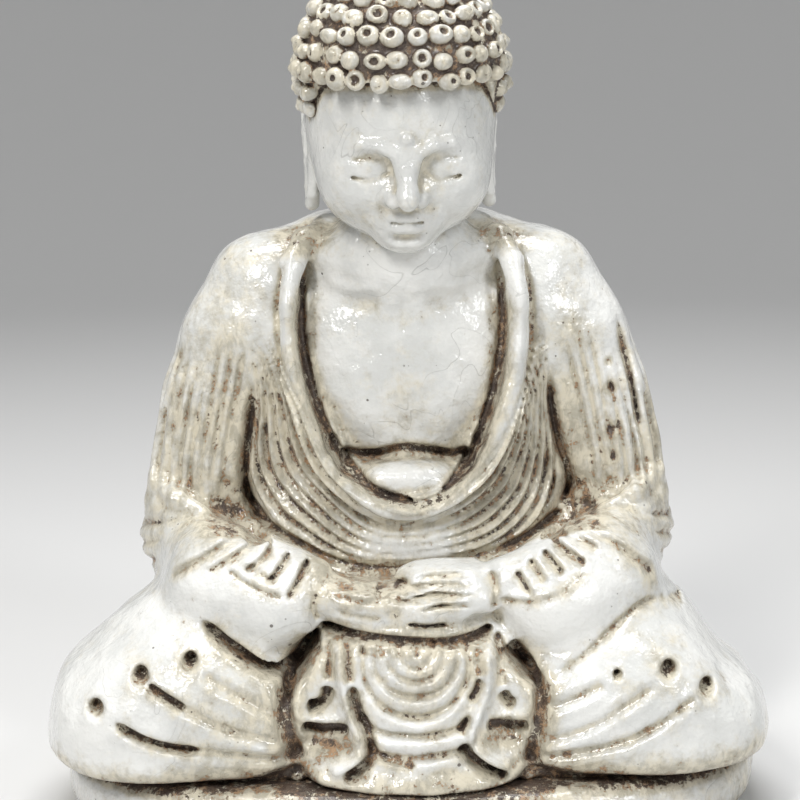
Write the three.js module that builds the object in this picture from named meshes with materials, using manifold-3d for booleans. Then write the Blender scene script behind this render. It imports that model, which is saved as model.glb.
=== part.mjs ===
// Seated meditating figure on a low oval plinth, cast in separate pieces.
// Millimetres, +Z up. The figure faces -Y, so its own left side is at +X.
// The origin is the middle of the footprint, on the surface that the figure stands on.
import * as THREE from 'three';
import { mergeVertices } from 'three/addons/utils/BufferGeometryUtils.js';
import Module from 'manifold-3d';

const wasm = await Module();
wasm.setup();

// Driving dimensions
const TOTAL_HEIGHT = 208;
const PLINTH_HALF_WIDTH = 82;
const PLINTH_HALF_DEPTH = 56;
const PLINTH_TOP = 13;
const PLINTH_EDGE_RADIUS = 5;
const FOOT_RING_BOTTOM = 0.6;
const FELT_THICKNESS = 1.5;
const PLINTH_SQUARENESS = 2.9; // 2 would be an ellipse
const FELT_INSET = 9;
const SEAM = 0.3; // glue line between neighbouring castings
const FLOOR_OF_FIGURE = PLINTH_TOP + SEAM;
const DOWEL_RADIUS = 4;
const SEGMENTS = 18;
const PLINTH_SEGMENTS = 40;
const DOME_STEPS = 2;

const GLAZE = { color: 0xe9e2d4, roughness: 0.16, metalness: 0 };
const FELT = { color: 0x3d2f26, roughness: 0.95, metalness: 0 };
const BEECH = { color: 0xb58a5a, roughness: 0.7, metalness: 0 };

// One ring of a loft: where it sits along the axis, its centre across the axis, its two half sizes
// and how square it is (2 is an ellipse).
const ring = (at, u, v, halfU, halfV, power = 2) => ({ at, u, v, halfU, halfV, power });

function ringPoint(axis, at, u, v) {
  if (axis === 'x') return [at, u, v];
  if (axis === 'y') return [v, at, u];
  return [u, v, at];
}

// Extra rings that close an end with a rounded cap of the given depth.
function domeRings(end, depth) {
  const rings = [];
  for (let step = 1; step <= DOME_STEPS; step += 1) {
    const angle = (step / (DOME_STEPS + 0.35)) * Math.PI / 2;
    const shrink = Math.cos(angle);
    rings.push({
      ...end,
      at: end.at + depth * Math.sin(angle),
      halfU: end.halfU * shrink,
      halfV: end.halfV * shrink,
    });
  }
  return rings;
}

// The rings of a loft with smooth in-between rings added, so that few rings draw a round form.
function smoothRings(rings, between) {
  const keys = ['at', 'u', 'v', 'halfU', 'halfV', 'power'];
  const middles = new THREE.CatmullRomCurve3(rings.map((r) => new THREE.Vector3(r.at, r.u, r.v)));
  const sizes = new THREE.CatmullRomCurve3(
    rings.map((r) => new THREE.Vector3(r.halfU, r.halfV, r.power)),
  );
  const count = (rings.length - 1) * between;
  return Array.from({ length: count + 1 }, (_, i) => {
    const middle = middles.getPoint(i / count);
    const size = sizes.getPoint(i / count);
    const values = [middle.x, middle.y, middle.z, size.x, size.y, size.z];
    return Object.fromEntries(keys.map((key, k) => [key, values[k]]));
  });
}

// A closed skin through rounded rings. grow pushes the whole skin outwards.
function loft(axis, rings, options = {}) {
  const { startDome = 0, endDome = 0, grow = 0, between = 2, segments = SEGMENTS } = options;
  const smooth = smoothRings(rings, between);
  const start = startDome > 0 ? domeRings(smooth[0], -startDome).reverse() : [];
  const end = endDome > 0 ? domeRings(smooth[smooth.length - 1], endDome) : [];
  const all = [...start, ...smooth, ...end];
  const lastIndex = all.length - 1;
  const positions = [];
  all.forEach((r, i) => {
    const endPush = (i === 0 ? -grow : 0) + (i === lastIndex ? grow : 0);
    for (let s = 0; s < segments; s += 1) {
      const angle = (s / segments) * Math.PI * 2;
      const c = Math.cos(angle);
      const d = Math.sin(angle);
      const reach = (Math.abs(c) ** r.power + Math.abs(d) ** r.power) ** (-1 / r.power);
      const u = r.u + c * reach * (r.halfU + grow);
      const v = r.v + d * reach * (r.halfV + grow);
      positions.push(...ringPoint(axis, r.at + endPush, u, v));
    }
  });
  positions.push(...ringPoint(axis, all[0].at - grow, all[0].u, all[0].v));
  positions.push(...ringPoint(axis, all[lastIndex].at + grow, all[lastIndex].u, all[lastIndex].v));
  const firstMiddle = all.length * segments;
  const index = [];
  for (let s = 0; s < segments; s += 1) {
    const next = (s + 1) % segments;
    for (let i = 0; i < lastIndex; i += 1) {
      const a = i * segments + s;
      const b = i * segments + next;
      index.push(a, b, b + segments, a, b + segments, a + segments);
    }
    index.push(firstMiddle, next, s);
    index.push(firstMiddle + 1, lastIndex * segments + s, lastIndex * segments + next);
  }
  const geometry = new THREE.BufferGeometry();
  geometry.setAttribute('position', new THREE.Float32BufferAttribute(positions, 3));
  geometry.setIndex(index);
  return geometry;
}

// The same shape on the figure's left (+1) or on its right (-1).
function onSide(side, geometry) {
  if (side > 0) return geometry;
  const twin = geometry.clone().scale(-1, 1, 1);
  const corners = twin.index.array;
  for (let i = 0; i < corners.length; i += 3) {
    [corners[i + 1], corners[i + 2]] = [corners[i + 2], corners[i + 1]];
  }
  return twin;
}

function toSolid(geometry) {
  const bare = geometry.clone();
  bare.deleteAttribute('normal');
  bare.deleteAttribute('uv');
  const merged = mergeVertices(bare, 1e-4);
  return new wasm.Manifold(new wasm.Mesh({
    numProp: 3,
    vertProperties: new Float32Array(merged.attributes.position.array),
    triVerts: new Uint32Array(merged.index.array),
  }));
}

function cut(solid, ...others) {
  return others.reduce((rest, other) => rest.subtract(other), solid);
}

function join(solid, ...others) {
  return others.reduce((whole, other) => whole.add(other), solid);
}

// A rolled robe edge: a bar of oval section that follows a curve.
function roll(points, halfAcross, halfDeep, steps) {
  const path = new THREE.CatmullRomCurve3(points.map((p) => new THREE.Vector3(...p)));
  const outline = new THREE.Shape().absellipse(0, 0, halfAcross, halfDeep, 0, Math.PI * 2);
  return new THREE.ExtrudeGeometry(outline, {
    extrudePath: path,
    steps,
    curveSegments: 4,
    bevelEnabled: false,
  });
}

// An upright round bar, used for the dowels and for the holes they sit in.
function upright(radius, bottom, top, x, y) {
  const height = top - bottom;
  const geometry = new THREE.CylinderGeometry(radius, radius, height, 12);
  return toSolid(geometry.rotateX(Math.PI / 2).translate(x, y, bottom + height / 2));
}

// Everything below the figure's own floor, used to trim the castings that stand on the plinth.
const belowFigure = toSolid(
  new THREE.BoxGeometry(400, 400, 100).translate(0, 0, FLOOR_OF_FIGURE - 50),
);

// The outline shared by the plinth and its felt, drawn in from the widest line of the plinth.
const ovalRing = (z, inset) => ring(
  z, 0, 0, PLINTH_HALF_WIDTH - inset, PLINTH_HALF_DEPTH - inset, PLINTH_SQUARENESS,
);

// The low slab: a straight foot, a bullnose upper edge and a recess underneath for the felt.
function plinth() {
  const rings = [
    ovalRing(FOOT_RING_BOTTOM, 1.5),
    ovalRing(FOOT_RING_BOTTOM + 1.5, 0.3),
    ovalRing(FOOT_RING_BOTTOM + 3, 0),
  ];
  for (let step = 0; step <= 4; step += 1) {
    const angle = (step / 4) * Math.PI / 2;
    rings.push(ovalRing(
      PLINTH_TOP - PLINTH_EDGE_RADIUS * (1 - Math.sin(angle)),
      PLINTH_EDGE_RADIUS * (1 - Math.cos(angle)),
    ));
  }
  const recess = loft('z', [
    ovalRing(-5, FELT_INSET - 1),
    ovalRing(FELT_THICKNESS + SEAM, FELT_INSET - 1),
  ], { between: 1, segments: PLINTH_SEGMENTS });
  const slab = toSolid(loft('z', rings, { between: 1, segments: PLINTH_SEGMENTS }));
  return cut(slab, toSolid(recess), ...SEAT_DOWEL_X.map((x) => seatDowel(x, SEAM)));
}

const feltPad = () => toSolid(loft('z', [
  ovalRing(0, FELT_INSET),
  ovalRing(FELT_THICKNESS, FELT_INSET),
], { between: 1, segments: PLINTH_SEGMENTS }));

// Dowels that locate the body on the plinth and the head on the body.
const SEAT_DOWEL_X = [-24, 24];
const seatDowel = (x, grow) => upright(DOWEL_RADIUS + grow, 5 - grow, 27 + grow, x, 12);
const neckDowel = (grow) => upright(DOWEL_RADIUS - 0.5 + grow, 114 - grow, 140 + grow, 0, 15.5);

// The torso under its robe, from the seat to the neck.
const torso = (grow = 0) => toSolid(loft('z', [
  ring(FLOOR_OF_FIGURE - 4, 0, 12, 52, 38, 2.2),
  ring(32, 0, 14, 51, 37, 2.2),
  ring(50, 0, 13, 44, 34, 2.2),
  ring(68, 0, 14, 40, 31, 2.2),
  ring(88, 0, 15.5, 41, 29.5, 2.2),
  ring(108, 0, 17.5, 45, 27.5, 2.3),
  ring(122, 0, 19, 40, 24, 2.2),
  ring(131, 0, 19, 30, 18, 2),
], { endDome: 7, grow }));

// One crossed leg under its robe, from the middle of the lap out to the knee.
const leg = (side, grow = 0) => toSolid(onSide(side, loft('x', [
  ring(SEAM / 2, -5, 29, 35, 16, 2.3),
  ring(26, -6, 30, 40, 17, 2.5),
  ring(48, -10, 29, 40, 20, 2.5),
  ring(62, -14, 27, 36, 18.5, 2.5),
  ring(73, -19, 24, 29, 13.5, 2.4),
], { endDome: 10, grow })));

// Shoulder and upper arm, hanging from beside the neck to the elbow.
const arm = (side, grow = 0) => toSolid(onSide(side, loft('z', [
  ring(50, 52, 8, 11, 15, 2.2),
  ring(60, 51, 11, 14.5, 18, 2.3),
  ring(74, 48.5, 14, 14.5, 18, 2.2),
  ring(90, 44, 16, 15, 18, 2.2),
  ring(106, 38.5, 18, 15.5, 19, 2.2),
  ring(119, 32.5, 19, 14.5, 16, 2.1),
], { startDome: 6, endDome: 11, grow })));

// Forearm in its pleated sleeve, with the rounded fall that hangs over the shin.
const sleeve = (side, grow = 0) => toSolid(onSide(side, loft('x', [
  ring(19, -35, 49, 7, 7, 2.2),
  ring(27, -34, 48, 10, 10.5, 2.2),
  ring(37, -28, 48, 14, 11, 2.2),
  ring(49, -18, 52, 17, 11, 2.2),
  ring(58, -9, 56, 15, 11, 2.2),
], { startDome: 2, endDome: 5, grow })));

// One hand, laid flat, the left one on top of the right one.
const HAND_HALF_THICKNESS = 3.3;
function hand(side, grow = 0) {
  const z = side > 0 ? 54 : 47.1;
  const tip = side > 0 ? -13 : -9;
  return toSolid(onSide(side, loft('x', [
    ring(tip, -33, z, 7, HAND_HALF_THICKNESS - 0.9, 2.3),
    ring(-2, -33, z, 9, HAND_HALF_THICKNESS, 2.4),
    ring(9, -33, z, 9, HAND_HALF_THICKNESS, 2.4),
    ring(19, -33, z, 6.5, HAND_HALF_THICKNESS - 0.4, 2.2),
  ], { startDome: 3, endDome: 2, grow })));
}

// The rolled fold of cloth that carries the hands, between belly and shins.
const lap = (grow = 0) => toSolid(loft('x', [
  ring(-33, -24, 43, 12, 6, 2.2),
  ring(0, -25, 43, 15, 8, 2.2),
  ring(33, -24, 43, 12, 6, 2.2),
], { startDome: 4, endDome: 4, grow }));

// The fall of the robe between the shins, from the hands down to the plinth.
const apron = (grow = 0) => toSolid(loft('z', [
  ring(FLOOR_OF_FIGURE - 4, 1, -36, 30, 15, 2.6),
  ring(24, 1, -35.5, 29, 14.5, 2.6),
  ring(38, 1, -33.5, 27, 12.5, 2.6),
], { endDome: 6, grow }));

// The bare chest, shown inside the robe edge.
const chest = (grow = 0) => toSolid(loft('z', [
  ring(84, 0, -2, 17, 6, 2.3),
  ring(94, 0, -3, 21, 7, 2.3),
  ring(108, 0, -1, 23, 7, 2.3),
  ring(124, 0, 3, 21, 6, 2.2),
], { startDome: 5, endDome: 6, grow }));

// The oval bulge of the inner garment under the chest.
const sash = (grow = 0) => toSolid(loft('x', [
  ring(-8, -6, 75, 9, 4, 2),
  ring(0, -6, 75, 10, 4.4, 2),
  ring(8, -6, 75, 9, 4, 2),
], { startDome: 4, endDome: 4, grow }));

// The space in front of the chest, open between the two sides of the robe edge.
const chestOpening = () => toSolid(loft('z', [
  ring(80, 0, -30, 14, 32, 2.6),
  ring(94, 0, -30, 22, 32, 2.8),
  ring(108, 0, -30, 24, 34, 2.8),
  ring(132, 0, -30, 20, 38, 2.6),
], { startDome: 5 }));

// The thick robe edge that runs around the chest from shoulder to shoulder.
const COLLAR_CURVE = [
  [22, 6, 129],
  [26, -5, 114],
  [26, -10, 98],
  [21.5, -14, 84],
  [12, -16.5, 73],
];
function collar(grow = 0) {
  const left = COLLAR_CURVE;
  const right = [...COLLAR_CURVE].reverse().map(([x, y, z]) => [-x, y, z]);
  return toSolid(roll([...left, [0, -17, 69], ...right], 3.2 + grow, 4.2 + grow, 28));
}

// Head with its neck stub, bent forward over the chest.
const head = (grow = 0) => toSolid(loft('z', [
  ring(136, 0, -10, 11, 12, 2),
  ring(142, 0, -6, 16.5, 17, 2.1),
  ring(151, 0, -3, 20.5, 21, 2.2),
  ring(161, 0, -1, 21.5, 22.5, 2.2),
  ring(172, 0, 0, 20.5, 21.5, 2.2),
], { startDome: 5, endDome: 16, grow }));

const neck = (grow = 0) => toSolid(loft('z', [
  ring(124, 0, 14, 14, 10, 2),
  ring(150, 0, 6, 14, 12, 2),
], { grow }));

// A long ear lobe beside the cheek.
const ear = (side, grow = 0) => toSolid(onSide(side, loft('z', [
  ring(143, 20.5, 3, 1.8, 3, 2),
  ring(153, 22, 2, 2.4, 4.5, 2),
  ring(163, 22, 2, 2, 4.5, 2),
], { startDome: 2, endDome: 2, grow })));

// The cap of curls, taken over the tips of the curls, and the mound on its crown.
const hairCap = (grow = 0) => toSolid(loft('z', [
  ring(152, 0, 9, 20, 17, 2.1),
  ring(160, 0, 5, 23.5, 22, 2.2),
  ring(168, 0, 3, 25.5, 25, 2.2),
  ring(178, 0, 2, 26, 26.5, 2.3),
  ring(187, 0, 2, 24.5, 25, 2.3),
], { startDome: 3, endDome: 12, grow }));

const crownMound = (grow = 0) => toSolid(loft('z', [
  ring(190, 0, 5, 17, 17, 2),
  ring(198, 0, 5, 15, 15, 2),
], { endDome: TOTAL_HEIGHT - 198, grow }));

// The face shows below a hairline that slopes from the brow down behind the ears.
const faceWindow = (grow) => toSolid(
  new THREE.BoxGeometry(80, 60, 60).rotateX(-0.28).translate(0, -26 + grow, 137 + grow),
);

function asMesh(name, solid, look) {
  const { vertProperties, triVerts } = solid.getMesh();
  const geometry = new THREE.BufferGeometry();
  geometry.setAttribute('position', new THREE.BufferAttribute(new Float32Array(vertProperties), 3));
  geometry.setIndex(new THREE.BufferAttribute(new Uint32Array(triVerts), 1));
  const mesh = new THREE.Mesh(geometry, new THREE.MeshStandardMaterial(look));
  mesh.name = name;
  return mesh;
}

const LEFT = 1;
const RIGHT = -1;

function figure() {
  const group = new THREE.Group();
  const add = (name, solid, look = GLAZE) => group.add(asMesh(name, solid, look));

  add('felt_pad', feltPad(), FELT);
  add('base_plinth', plinth());
  SEAT_DOWEL_X.forEach((x, i) => add(`seat_dowel_${i + 1}`, seatDowel(x, 0), BEECH));
  add('neck_dowel', neckDowel(0), BEECH);

  add('hand_right', hand(RIGHT));
  add('hand_left', hand(LEFT));
  const handsGrown = [hand(RIGHT, SEAM), hand(LEFT, SEAM)];
  const sleevesGrown = [sleeve(RIGHT, SEAM), sleeve(LEFT, SEAM)];
  const torsoGrown = torso(SEAM);
  const collarGrown = collar(SEAM);

  add('apron', cut(apron(), belowFigure, torsoGrown, ...handsGrown));
  add('lap', cut(lap(), ...handsGrown, apron(SEAM), torsoGrown, ...sleevesGrown));
  for (const side of [RIGHT, LEFT]) {
    const name = side === LEFT ? 'left' : 'right';
    add(`sleeve_${name}`, cut(sleeve(side), ...handsGrown, torsoGrown, apron(SEAM)));
    add(`arm_${name}`, cut(arm(side), torsoGrown, ...sleevesGrown, collarGrown));
    add(`leg_${name}`, cut(
      leg(side), belowFigure, torsoGrown, apron(SEAM), lap(SEAM), ...sleevesGrown, ...handsGrown,
      arm(side, SEAM),
    ));
  }

  const seatHoles = SEAT_DOWEL_X.map((x) => seatDowel(x, SEAM));
  const headWhole = join(head(), neck(), ear(LEFT), ear(RIGHT));
  const headRoom = join(head(SEAM), neck(SEAM));
  add('robe_collar', cut(collar(), headRoom));
  add('chest', cut(chest(), collarGrown, headRoom));
  add('under_sash', cut(sash(), collarGrown, chest(SEAM)));
  add('robe_body', cut(
    torso(), belowFigure, chestOpening(), collarGrown, chest(SEAM), sash(SEAM), headRoom,
    neckDowel(SEAM),
    ...seatHoles,
  ));

  const hairBack = (grow) => cut(hairCap(grow), faceWindow(-grow));
  add('head', cut(headWhole, hairBack(SEAM), neckDowel(SEAM)));
  add('hair_cap', cut(hairBack(0), crownMound(SEAM)));
  add('ushnisha', crownMound(0));
  return group;
}

export default figure();
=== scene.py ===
"""A seated meditating figure in glazed castings, each sculpted on a grid from its CAD solid.

The CAD solids become signed distances, which are softened, joined and cut with relief, then meshed
piece by piece. How enclosed each place is, is kept on the mesh, and the glaze is stained from that.
Lengths are in mm until a mesh is made; lights, camera and floor are in metres.
"""
import math
import bpy
import numpy as np
import openvdb
from mathutils import Matrix, Vector


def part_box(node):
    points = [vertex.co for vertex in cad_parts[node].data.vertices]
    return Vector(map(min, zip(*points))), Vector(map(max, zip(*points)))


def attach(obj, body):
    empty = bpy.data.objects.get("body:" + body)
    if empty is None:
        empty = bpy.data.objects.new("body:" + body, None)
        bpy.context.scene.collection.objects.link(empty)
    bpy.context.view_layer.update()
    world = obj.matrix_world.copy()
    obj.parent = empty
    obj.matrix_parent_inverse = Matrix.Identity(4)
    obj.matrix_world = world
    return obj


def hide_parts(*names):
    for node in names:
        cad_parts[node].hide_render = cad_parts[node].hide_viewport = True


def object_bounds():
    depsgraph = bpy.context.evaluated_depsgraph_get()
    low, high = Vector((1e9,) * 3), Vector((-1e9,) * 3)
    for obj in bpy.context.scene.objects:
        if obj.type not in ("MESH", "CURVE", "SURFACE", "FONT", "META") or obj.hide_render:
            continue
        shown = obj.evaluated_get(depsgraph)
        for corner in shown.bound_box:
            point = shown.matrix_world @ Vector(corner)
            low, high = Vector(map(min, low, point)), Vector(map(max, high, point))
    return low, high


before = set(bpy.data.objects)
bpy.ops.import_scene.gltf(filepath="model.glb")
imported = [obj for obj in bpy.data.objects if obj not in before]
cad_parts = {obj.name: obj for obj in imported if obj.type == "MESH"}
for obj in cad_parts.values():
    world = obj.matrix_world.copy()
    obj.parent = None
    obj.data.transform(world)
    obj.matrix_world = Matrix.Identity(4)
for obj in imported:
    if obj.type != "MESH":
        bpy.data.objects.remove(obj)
cad_low, cad_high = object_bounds()

MM = 1000.0                        # mm in a metre
BODY_STEP = 0.55
HEAD_STEP = 0.39
PLINTH_STEP = 1.4 * BODY_STEP
FAR = 10.0                         # distances are cut off here
rng = np.random.default_rng(7)


# ---------------------------------------------------------------- camera, light, floor
LENS_MM, SENSOR_MM = 95.85, 36
CAMERA_TARGET = Vector((-0.0012, 0.011, 0.090))
CAMERA_DISTANCE = 0.52
CAMERA_ELEVATION = math.radians(10)
CAMERA_ROLL = math.radians(-1)

# name: place, target, width and height, power in watts, colour
LIGHTS = {
    "key": ((-0.36, -0.60, 0.78), (0, 0, 0.09), (0.14, 0.36), 5.3, (1.0, 0.985, 0.96)),
    "fill": ((0.48, -0.58, 0.66), (0, 0, 0.09), (0.12, 0.34), 2.5, (0.96, 0.98, 1.0)),
    "top": ((0.0, 0.05, 0.90), (0, 0, 0.12), (0.5, 0.35), 6.0, (1, 1, 1)),
}
ROOM_COLOUR, ROOM_STRENGTH = (0.80, 0.81, 0.83, 1), 0.23
FLOOR_COLOUR, FLOOR_ROUGHNESS = (0.70, 0.70, 0.695, 1), 0.85
FLOOR_RADIUS, WALL_RADIUS = 0.9, 0.7
FLOOR_SIDES = 64


def make_camera():
    data = bpy.data.cameras.new("camera")
    data.lens = LENS_MM
    data.sensor_width = SENSOR_MM
    camera = bpy.data.objects.new("camera", data)
    bpy.context.scene.collection.objects.link(camera)
    bpy.context.scene.camera = camera
    back = Vector((0, -math.cos(CAMERA_ELEVATION), math.sin(CAMERA_ELEVATION)))
    camera.location = CAMERA_TARGET + back * CAMERA_DISTANCE
    turn = (-back).to_track_quat("-Z", "Y").to_matrix().to_4x4()
    camera.matrix_world = Matrix.Translation(camera.location) @ turn @ Matrix.Rotation(CAMERA_ROLL, 4, "Z")


def area_light(name, place, target, size, power, colour):
    data = bpy.data.lights.new(name, "AREA")
    data.shape = "RECTANGLE"
    data.size, data.size_y = size
    data.energy = power
    data.color = colour
    light = bpy.data.objects.new(name, data)
    bpy.context.scene.collection.objects.link(light)
    light.location = place
    light.rotation_euler = (Vector(target) - Vector(place)).to_track_quat("-Z", "Y").to_euler()


def make_floor():
    """A pale floor that sweeps up into a low wall all round."""
    profile = [(FLOOR_RADIUS * k / 6, 0.0) for k in range(1, 7)]
    profile += [(FLOOR_RADIUS + WALL_RADIUS * math.sin(t), WALL_RADIUS * (1 - math.cos(t)))
                for t in np.linspace(0.1, math.pi / 2, 16)]
    turns = FLOOR_SIDES
    points = [(r * math.cos(2 * math.pi * i / turns), r * math.sin(2 * math.pi * i / turns), z)
              for r, z in profile for i in range(turns)]
    faces = [[(j + 1) * turns + i, (j + 1) * turns + (i + 1) % turns, j * turns + (i + 1) % turns,
              j * turns + i] for j in range(len(profile) - 1) for i in range(turns)]
    faces.append(list(range(turns)))
    mesh = bpy.data.meshes.new("floor")
    mesh.from_pydata(points, [], faces)
    mesh.polygons.foreach_set("use_smooth", np.ones(len(mesh.polygons), bool))
    floor = bpy.data.objects.new("floor", mesh)
    bpy.context.scene.collection.objects.link(floor)
    material = bpy.data.materials.new("floor_paper")
    material.use_nodes = True
    shader = material.node_tree.nodes["Principled BSDF"]
    shader.inputs["Base Color"].default_value = FLOOR_COLOUR
    shader.inputs["Roughness"].default_value = FLOOR_ROUGHNESS
    mesh.materials.append(material)


def make_stage():
    for name, settings in LIGHTS.items():
        area_light(name, *settings)
    world = bpy.data.worlds.new("studio")
    bpy.context.scene.world = world
    world.use_nodes = True
    background = world.node_tree.nodes["Background"]
    background.inputs["Color"].default_value = ROOM_COLOUR
    background.inputs["Strength"].default_value = ROOM_STRENGTH
    bpy.context.scene.view_settings.view_transform = "Standard"
    make_floor()


# ---------------------------------------------------------------- grids
class Grid:
    """A block of space sampled every step, from a corner that is counted in whole steps."""

    def __init__(self, first, shape, step):
        self.step = step
        self.first = np.array(first)
        self.shape = tuple(int(n) for n in shape)
        axes = [(self.first[a] + np.arange(self.shape[a])) * step for a in range(3)]
        self.x = axes[0].astype(np.float32)[:, None, None]
        self.y = axes[1].astype(np.float32)[None, :, None]
        self.z = axes[2].astype(np.float32)[None, None, :]

    def part(self, low, high):
        """The slices and the sub-grid that cover a smaller box."""
        last = np.array(self.shape)
        a = np.clip(np.floor(np.array(low) / self.step).astype(int) - self.first, 0, last - 1)
        b = np.clip(np.ceil(np.array(high) / self.step).astype(int) - self.first + 1, 1, last)
        cut = tuple(slice(int(p), int(q)) for p, q in zip(a, b))
        return cut, Grid(self.first + a, b - a, self.step)

    def sample(self, field, points):
        """Trilinear values of a field at points in mm."""
        place = np.clip(points / self.step - self.first, 0, np.array(self.shape) - 1.001)
        i = place.astype(int)
        f = (place - i).astype(np.float32)
        total = 0
        for dx in (0, 1):
            for dy in (0, 1):
                for dz in (0, 1):
                    w = ((f[:, 0] if dx else 1 - f[:, 0]) * (f[:, 1] if dy else 1 - f[:, 1])
                         * (f[:, 2] if dz else 1 - f[:, 2]))
                    total = total + w * field[i[:, 0] + dx, i[:, 1] + dy, i[:, 2] + dz]
        return total


def grid_over(low, high, step):
    """The grid that covers a box."""
    first = np.floor(np.array(low) / step).astype(int)
    return Grid(first, np.ceil(np.array(high) / step).astype(int) - first + 1, step)


def blur(field, size, step):
    """Three box blurs along each axis, close to a Gaussian whose radius is the size."""
    r = int(max(1, round(size / step * 0.62)))
    for axis in range(3):
        for _ in range(3):
            pad = [(0, 0)] * 3
            pad[axis] = (r + 1, r)
            total = np.cumsum(np.pad(field, pad, mode="edge"), axis=axis, dtype=np.float32)
            n = field.shape[axis]
            low, high = [slice(None)] * 3, [slice(None)] * 3
            high[axis] = slice(2 * r + 1, 2 * r + 1 + n)
            low[axis] = slice(0, n)
            field = (total[tuple(high)] - total[tuple(low)]) / (2 * r + 1)
    return field


def lumps(g, size):
    """Soft random lumps about size mm across, from -1 to 1 or so."""
    coarse = rng.normal(0, 1, [int(n * g.step / size) + 3 for n in g.shape]).astype(np.float32)
    for axis in range(3):
        place = np.arange(g.shape[axis]) * g.step / size
        low = place.astype(int)
        share = place - low
        share = (share * share * (3 - 2 * share)).astype(np.float32)
        shape = [1, 1, 1]
        shape[axis] = -1
        share = share.reshape(shape)
        coarse = np.take(coarse, low, axis) * (1 - share) + np.take(coarse, low + 1, axis) * share
    return coarse


def smooth_step(a, b, value):
    """0 before a, 1 past b, smooth between. a may be the larger."""
    t = np.clip((value - a) / (b - a), 0, 1)
    return t * t * (3 - 2 * t)


def soft_union(a, b, k):
    """a and b together, with a fillet about k wide."""
    h = np.maximum(k - np.abs(a - b), 0)
    return np.minimum(a, b) - h * h / (4 * k)


def soft_cut(a, b, k):
    """a with b taken away, its edge softened over k."""
    h = np.maximum(k - np.abs(a + b), 0)
    return np.maximum(a, -b) + h * h / (4 * k)


def ellipsoid(g, centre, radii):
    px, py, pz = g.x - centre[0], g.y - centre[1], g.z - centre[2]
    k0 = np.sqrt((px / radii[0]) ** 2 + (py / radii[1]) ** 2 + (pz / radii[2]) ** 2)
    k1 = np.sqrt((px / radii[0] ** 2) ** 2 + (py / radii[1] ** 2) ** 2 + (pz / radii[2] ** 2) ** 2)
    return k0 * (k0 - 1) / np.maximum(k1, 1e-6)


def capsule(g, a, b, ra, rb):
    """A round bar from a to b, from radius ra to radius rb."""
    d = np.subtract(b, a)
    t = ((g.x - a[0]) * d[0] + (g.y - a[1]) * d[1] + (g.z - a[2]) * d[2]) / max(float(d @ d), 1e-9)
    t = np.clip(t, 0, 1)
    far = np.sqrt((g.x - a[0] - t * d[0]) ** 2 + (g.y - a[1] - t * d[1]) ** 2 + (g.z - a[2] - t * d[2]) ** 2)
    return far - (ra + (rb - ra) * t)


def chain(g, points, radii, k=0.6):
    """Round bars end to end, from point to point."""
    field = None
    for i in range(len(points) - 1):
        link = capsule(g, points[i], points[i + 1], radii[i], radii[i + 1])
        field = link if field is None else soft_union(field, link, k)
    return field


def cad_distance(node, g, band):
    """Signed distance to a CAD node, cut off at the band."""
    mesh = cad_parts[node].data
    mesh.calc_loop_triangles()
    points = np.array([v.co for v in mesh.vertices], np.float32) * MM
    corners = np.array([t.vertices[:] for t in mesh.loop_triangles], np.uint32)
    volume = openvdb.FloatGrid.createLevelSetFromPolygons(
        points, triangles=corners, transform=openvdb.createLinearTransform(voxelSize=g.step),
        halfWidth=float(band / g.step))
    field = np.full(g.shape, band, np.float32)
    volume.copyToArray(field, ijk=tuple(int(n) for n in g.first))
    return field


def node_mm(node):
    """A CAD node's lowest and highest corners."""
    low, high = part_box(node)
    return np.array(low) * MM, np.array(high) * MM


# ---------------------------------------------------------------- meshing
def skin(name, g, field):
    """A smooth-shaded mesh of the field's zero surface, and its points."""
    volume = openvdb.FloatGrid(background=5.0)
    volume.copyFromArray(np.ascontiguousarray(field), ijk=(0, 0, 0))
    points, quads = volume.convertToQuads(isovalue=0.0)
    points = (points + g.first) * g.step
    mesh = bpy.data.meshes.new(name)
    mesh.vertices.add(len(points))
    mesh.vertices.foreach_set("co", (points / MM).astype(np.float32).ravel())
    quads = quads[:, ::-1]
    mesh.loops.add(quads.size)
    mesh.loops.foreach_set("vertex_index", quads.astype(np.int32).ravel())
    mesh.polygons.add(len(quads))
    mesh.polygons.foreach_set("loop_start", np.arange(0, quads.size, 4, dtype=np.int32))
    mesh.update(calc_edges=True)
    mesh.polygons.foreach_set("use_smooth", np.ones(len(quads), bool))
    piece = bpy.data.objects.new(name, mesh)
    bpy.context.scene.collection.objects.link(piece)
    return piece, points.astype(np.float32)


# ---------------------------------------------------------------- relief drawn on the front, back and sides
def curve(points, per_span=8):
    """A smooth line through a few points."""
    p = np.array(points, float)
    p = np.vstack([2 * p[0] - p[1], p, 2 * p[-1] - p[-2]])
    t = np.linspace(0, 1, per_span, endpoint=False)[:, None]
    parts = []
    for a, b, c, d in zip(p[:-3], p[1:-2], p[2:-1], p[3:]):
        parts.append(0.5 * (2 * b + (c - a) * t + (2 * a - 5 * b + 4 * c - d) * t ** 2
                            + (3 * b - a - 3 * c + d) * t ** 3))
    return np.vstack(parts + [p[-2:-1]])


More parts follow.
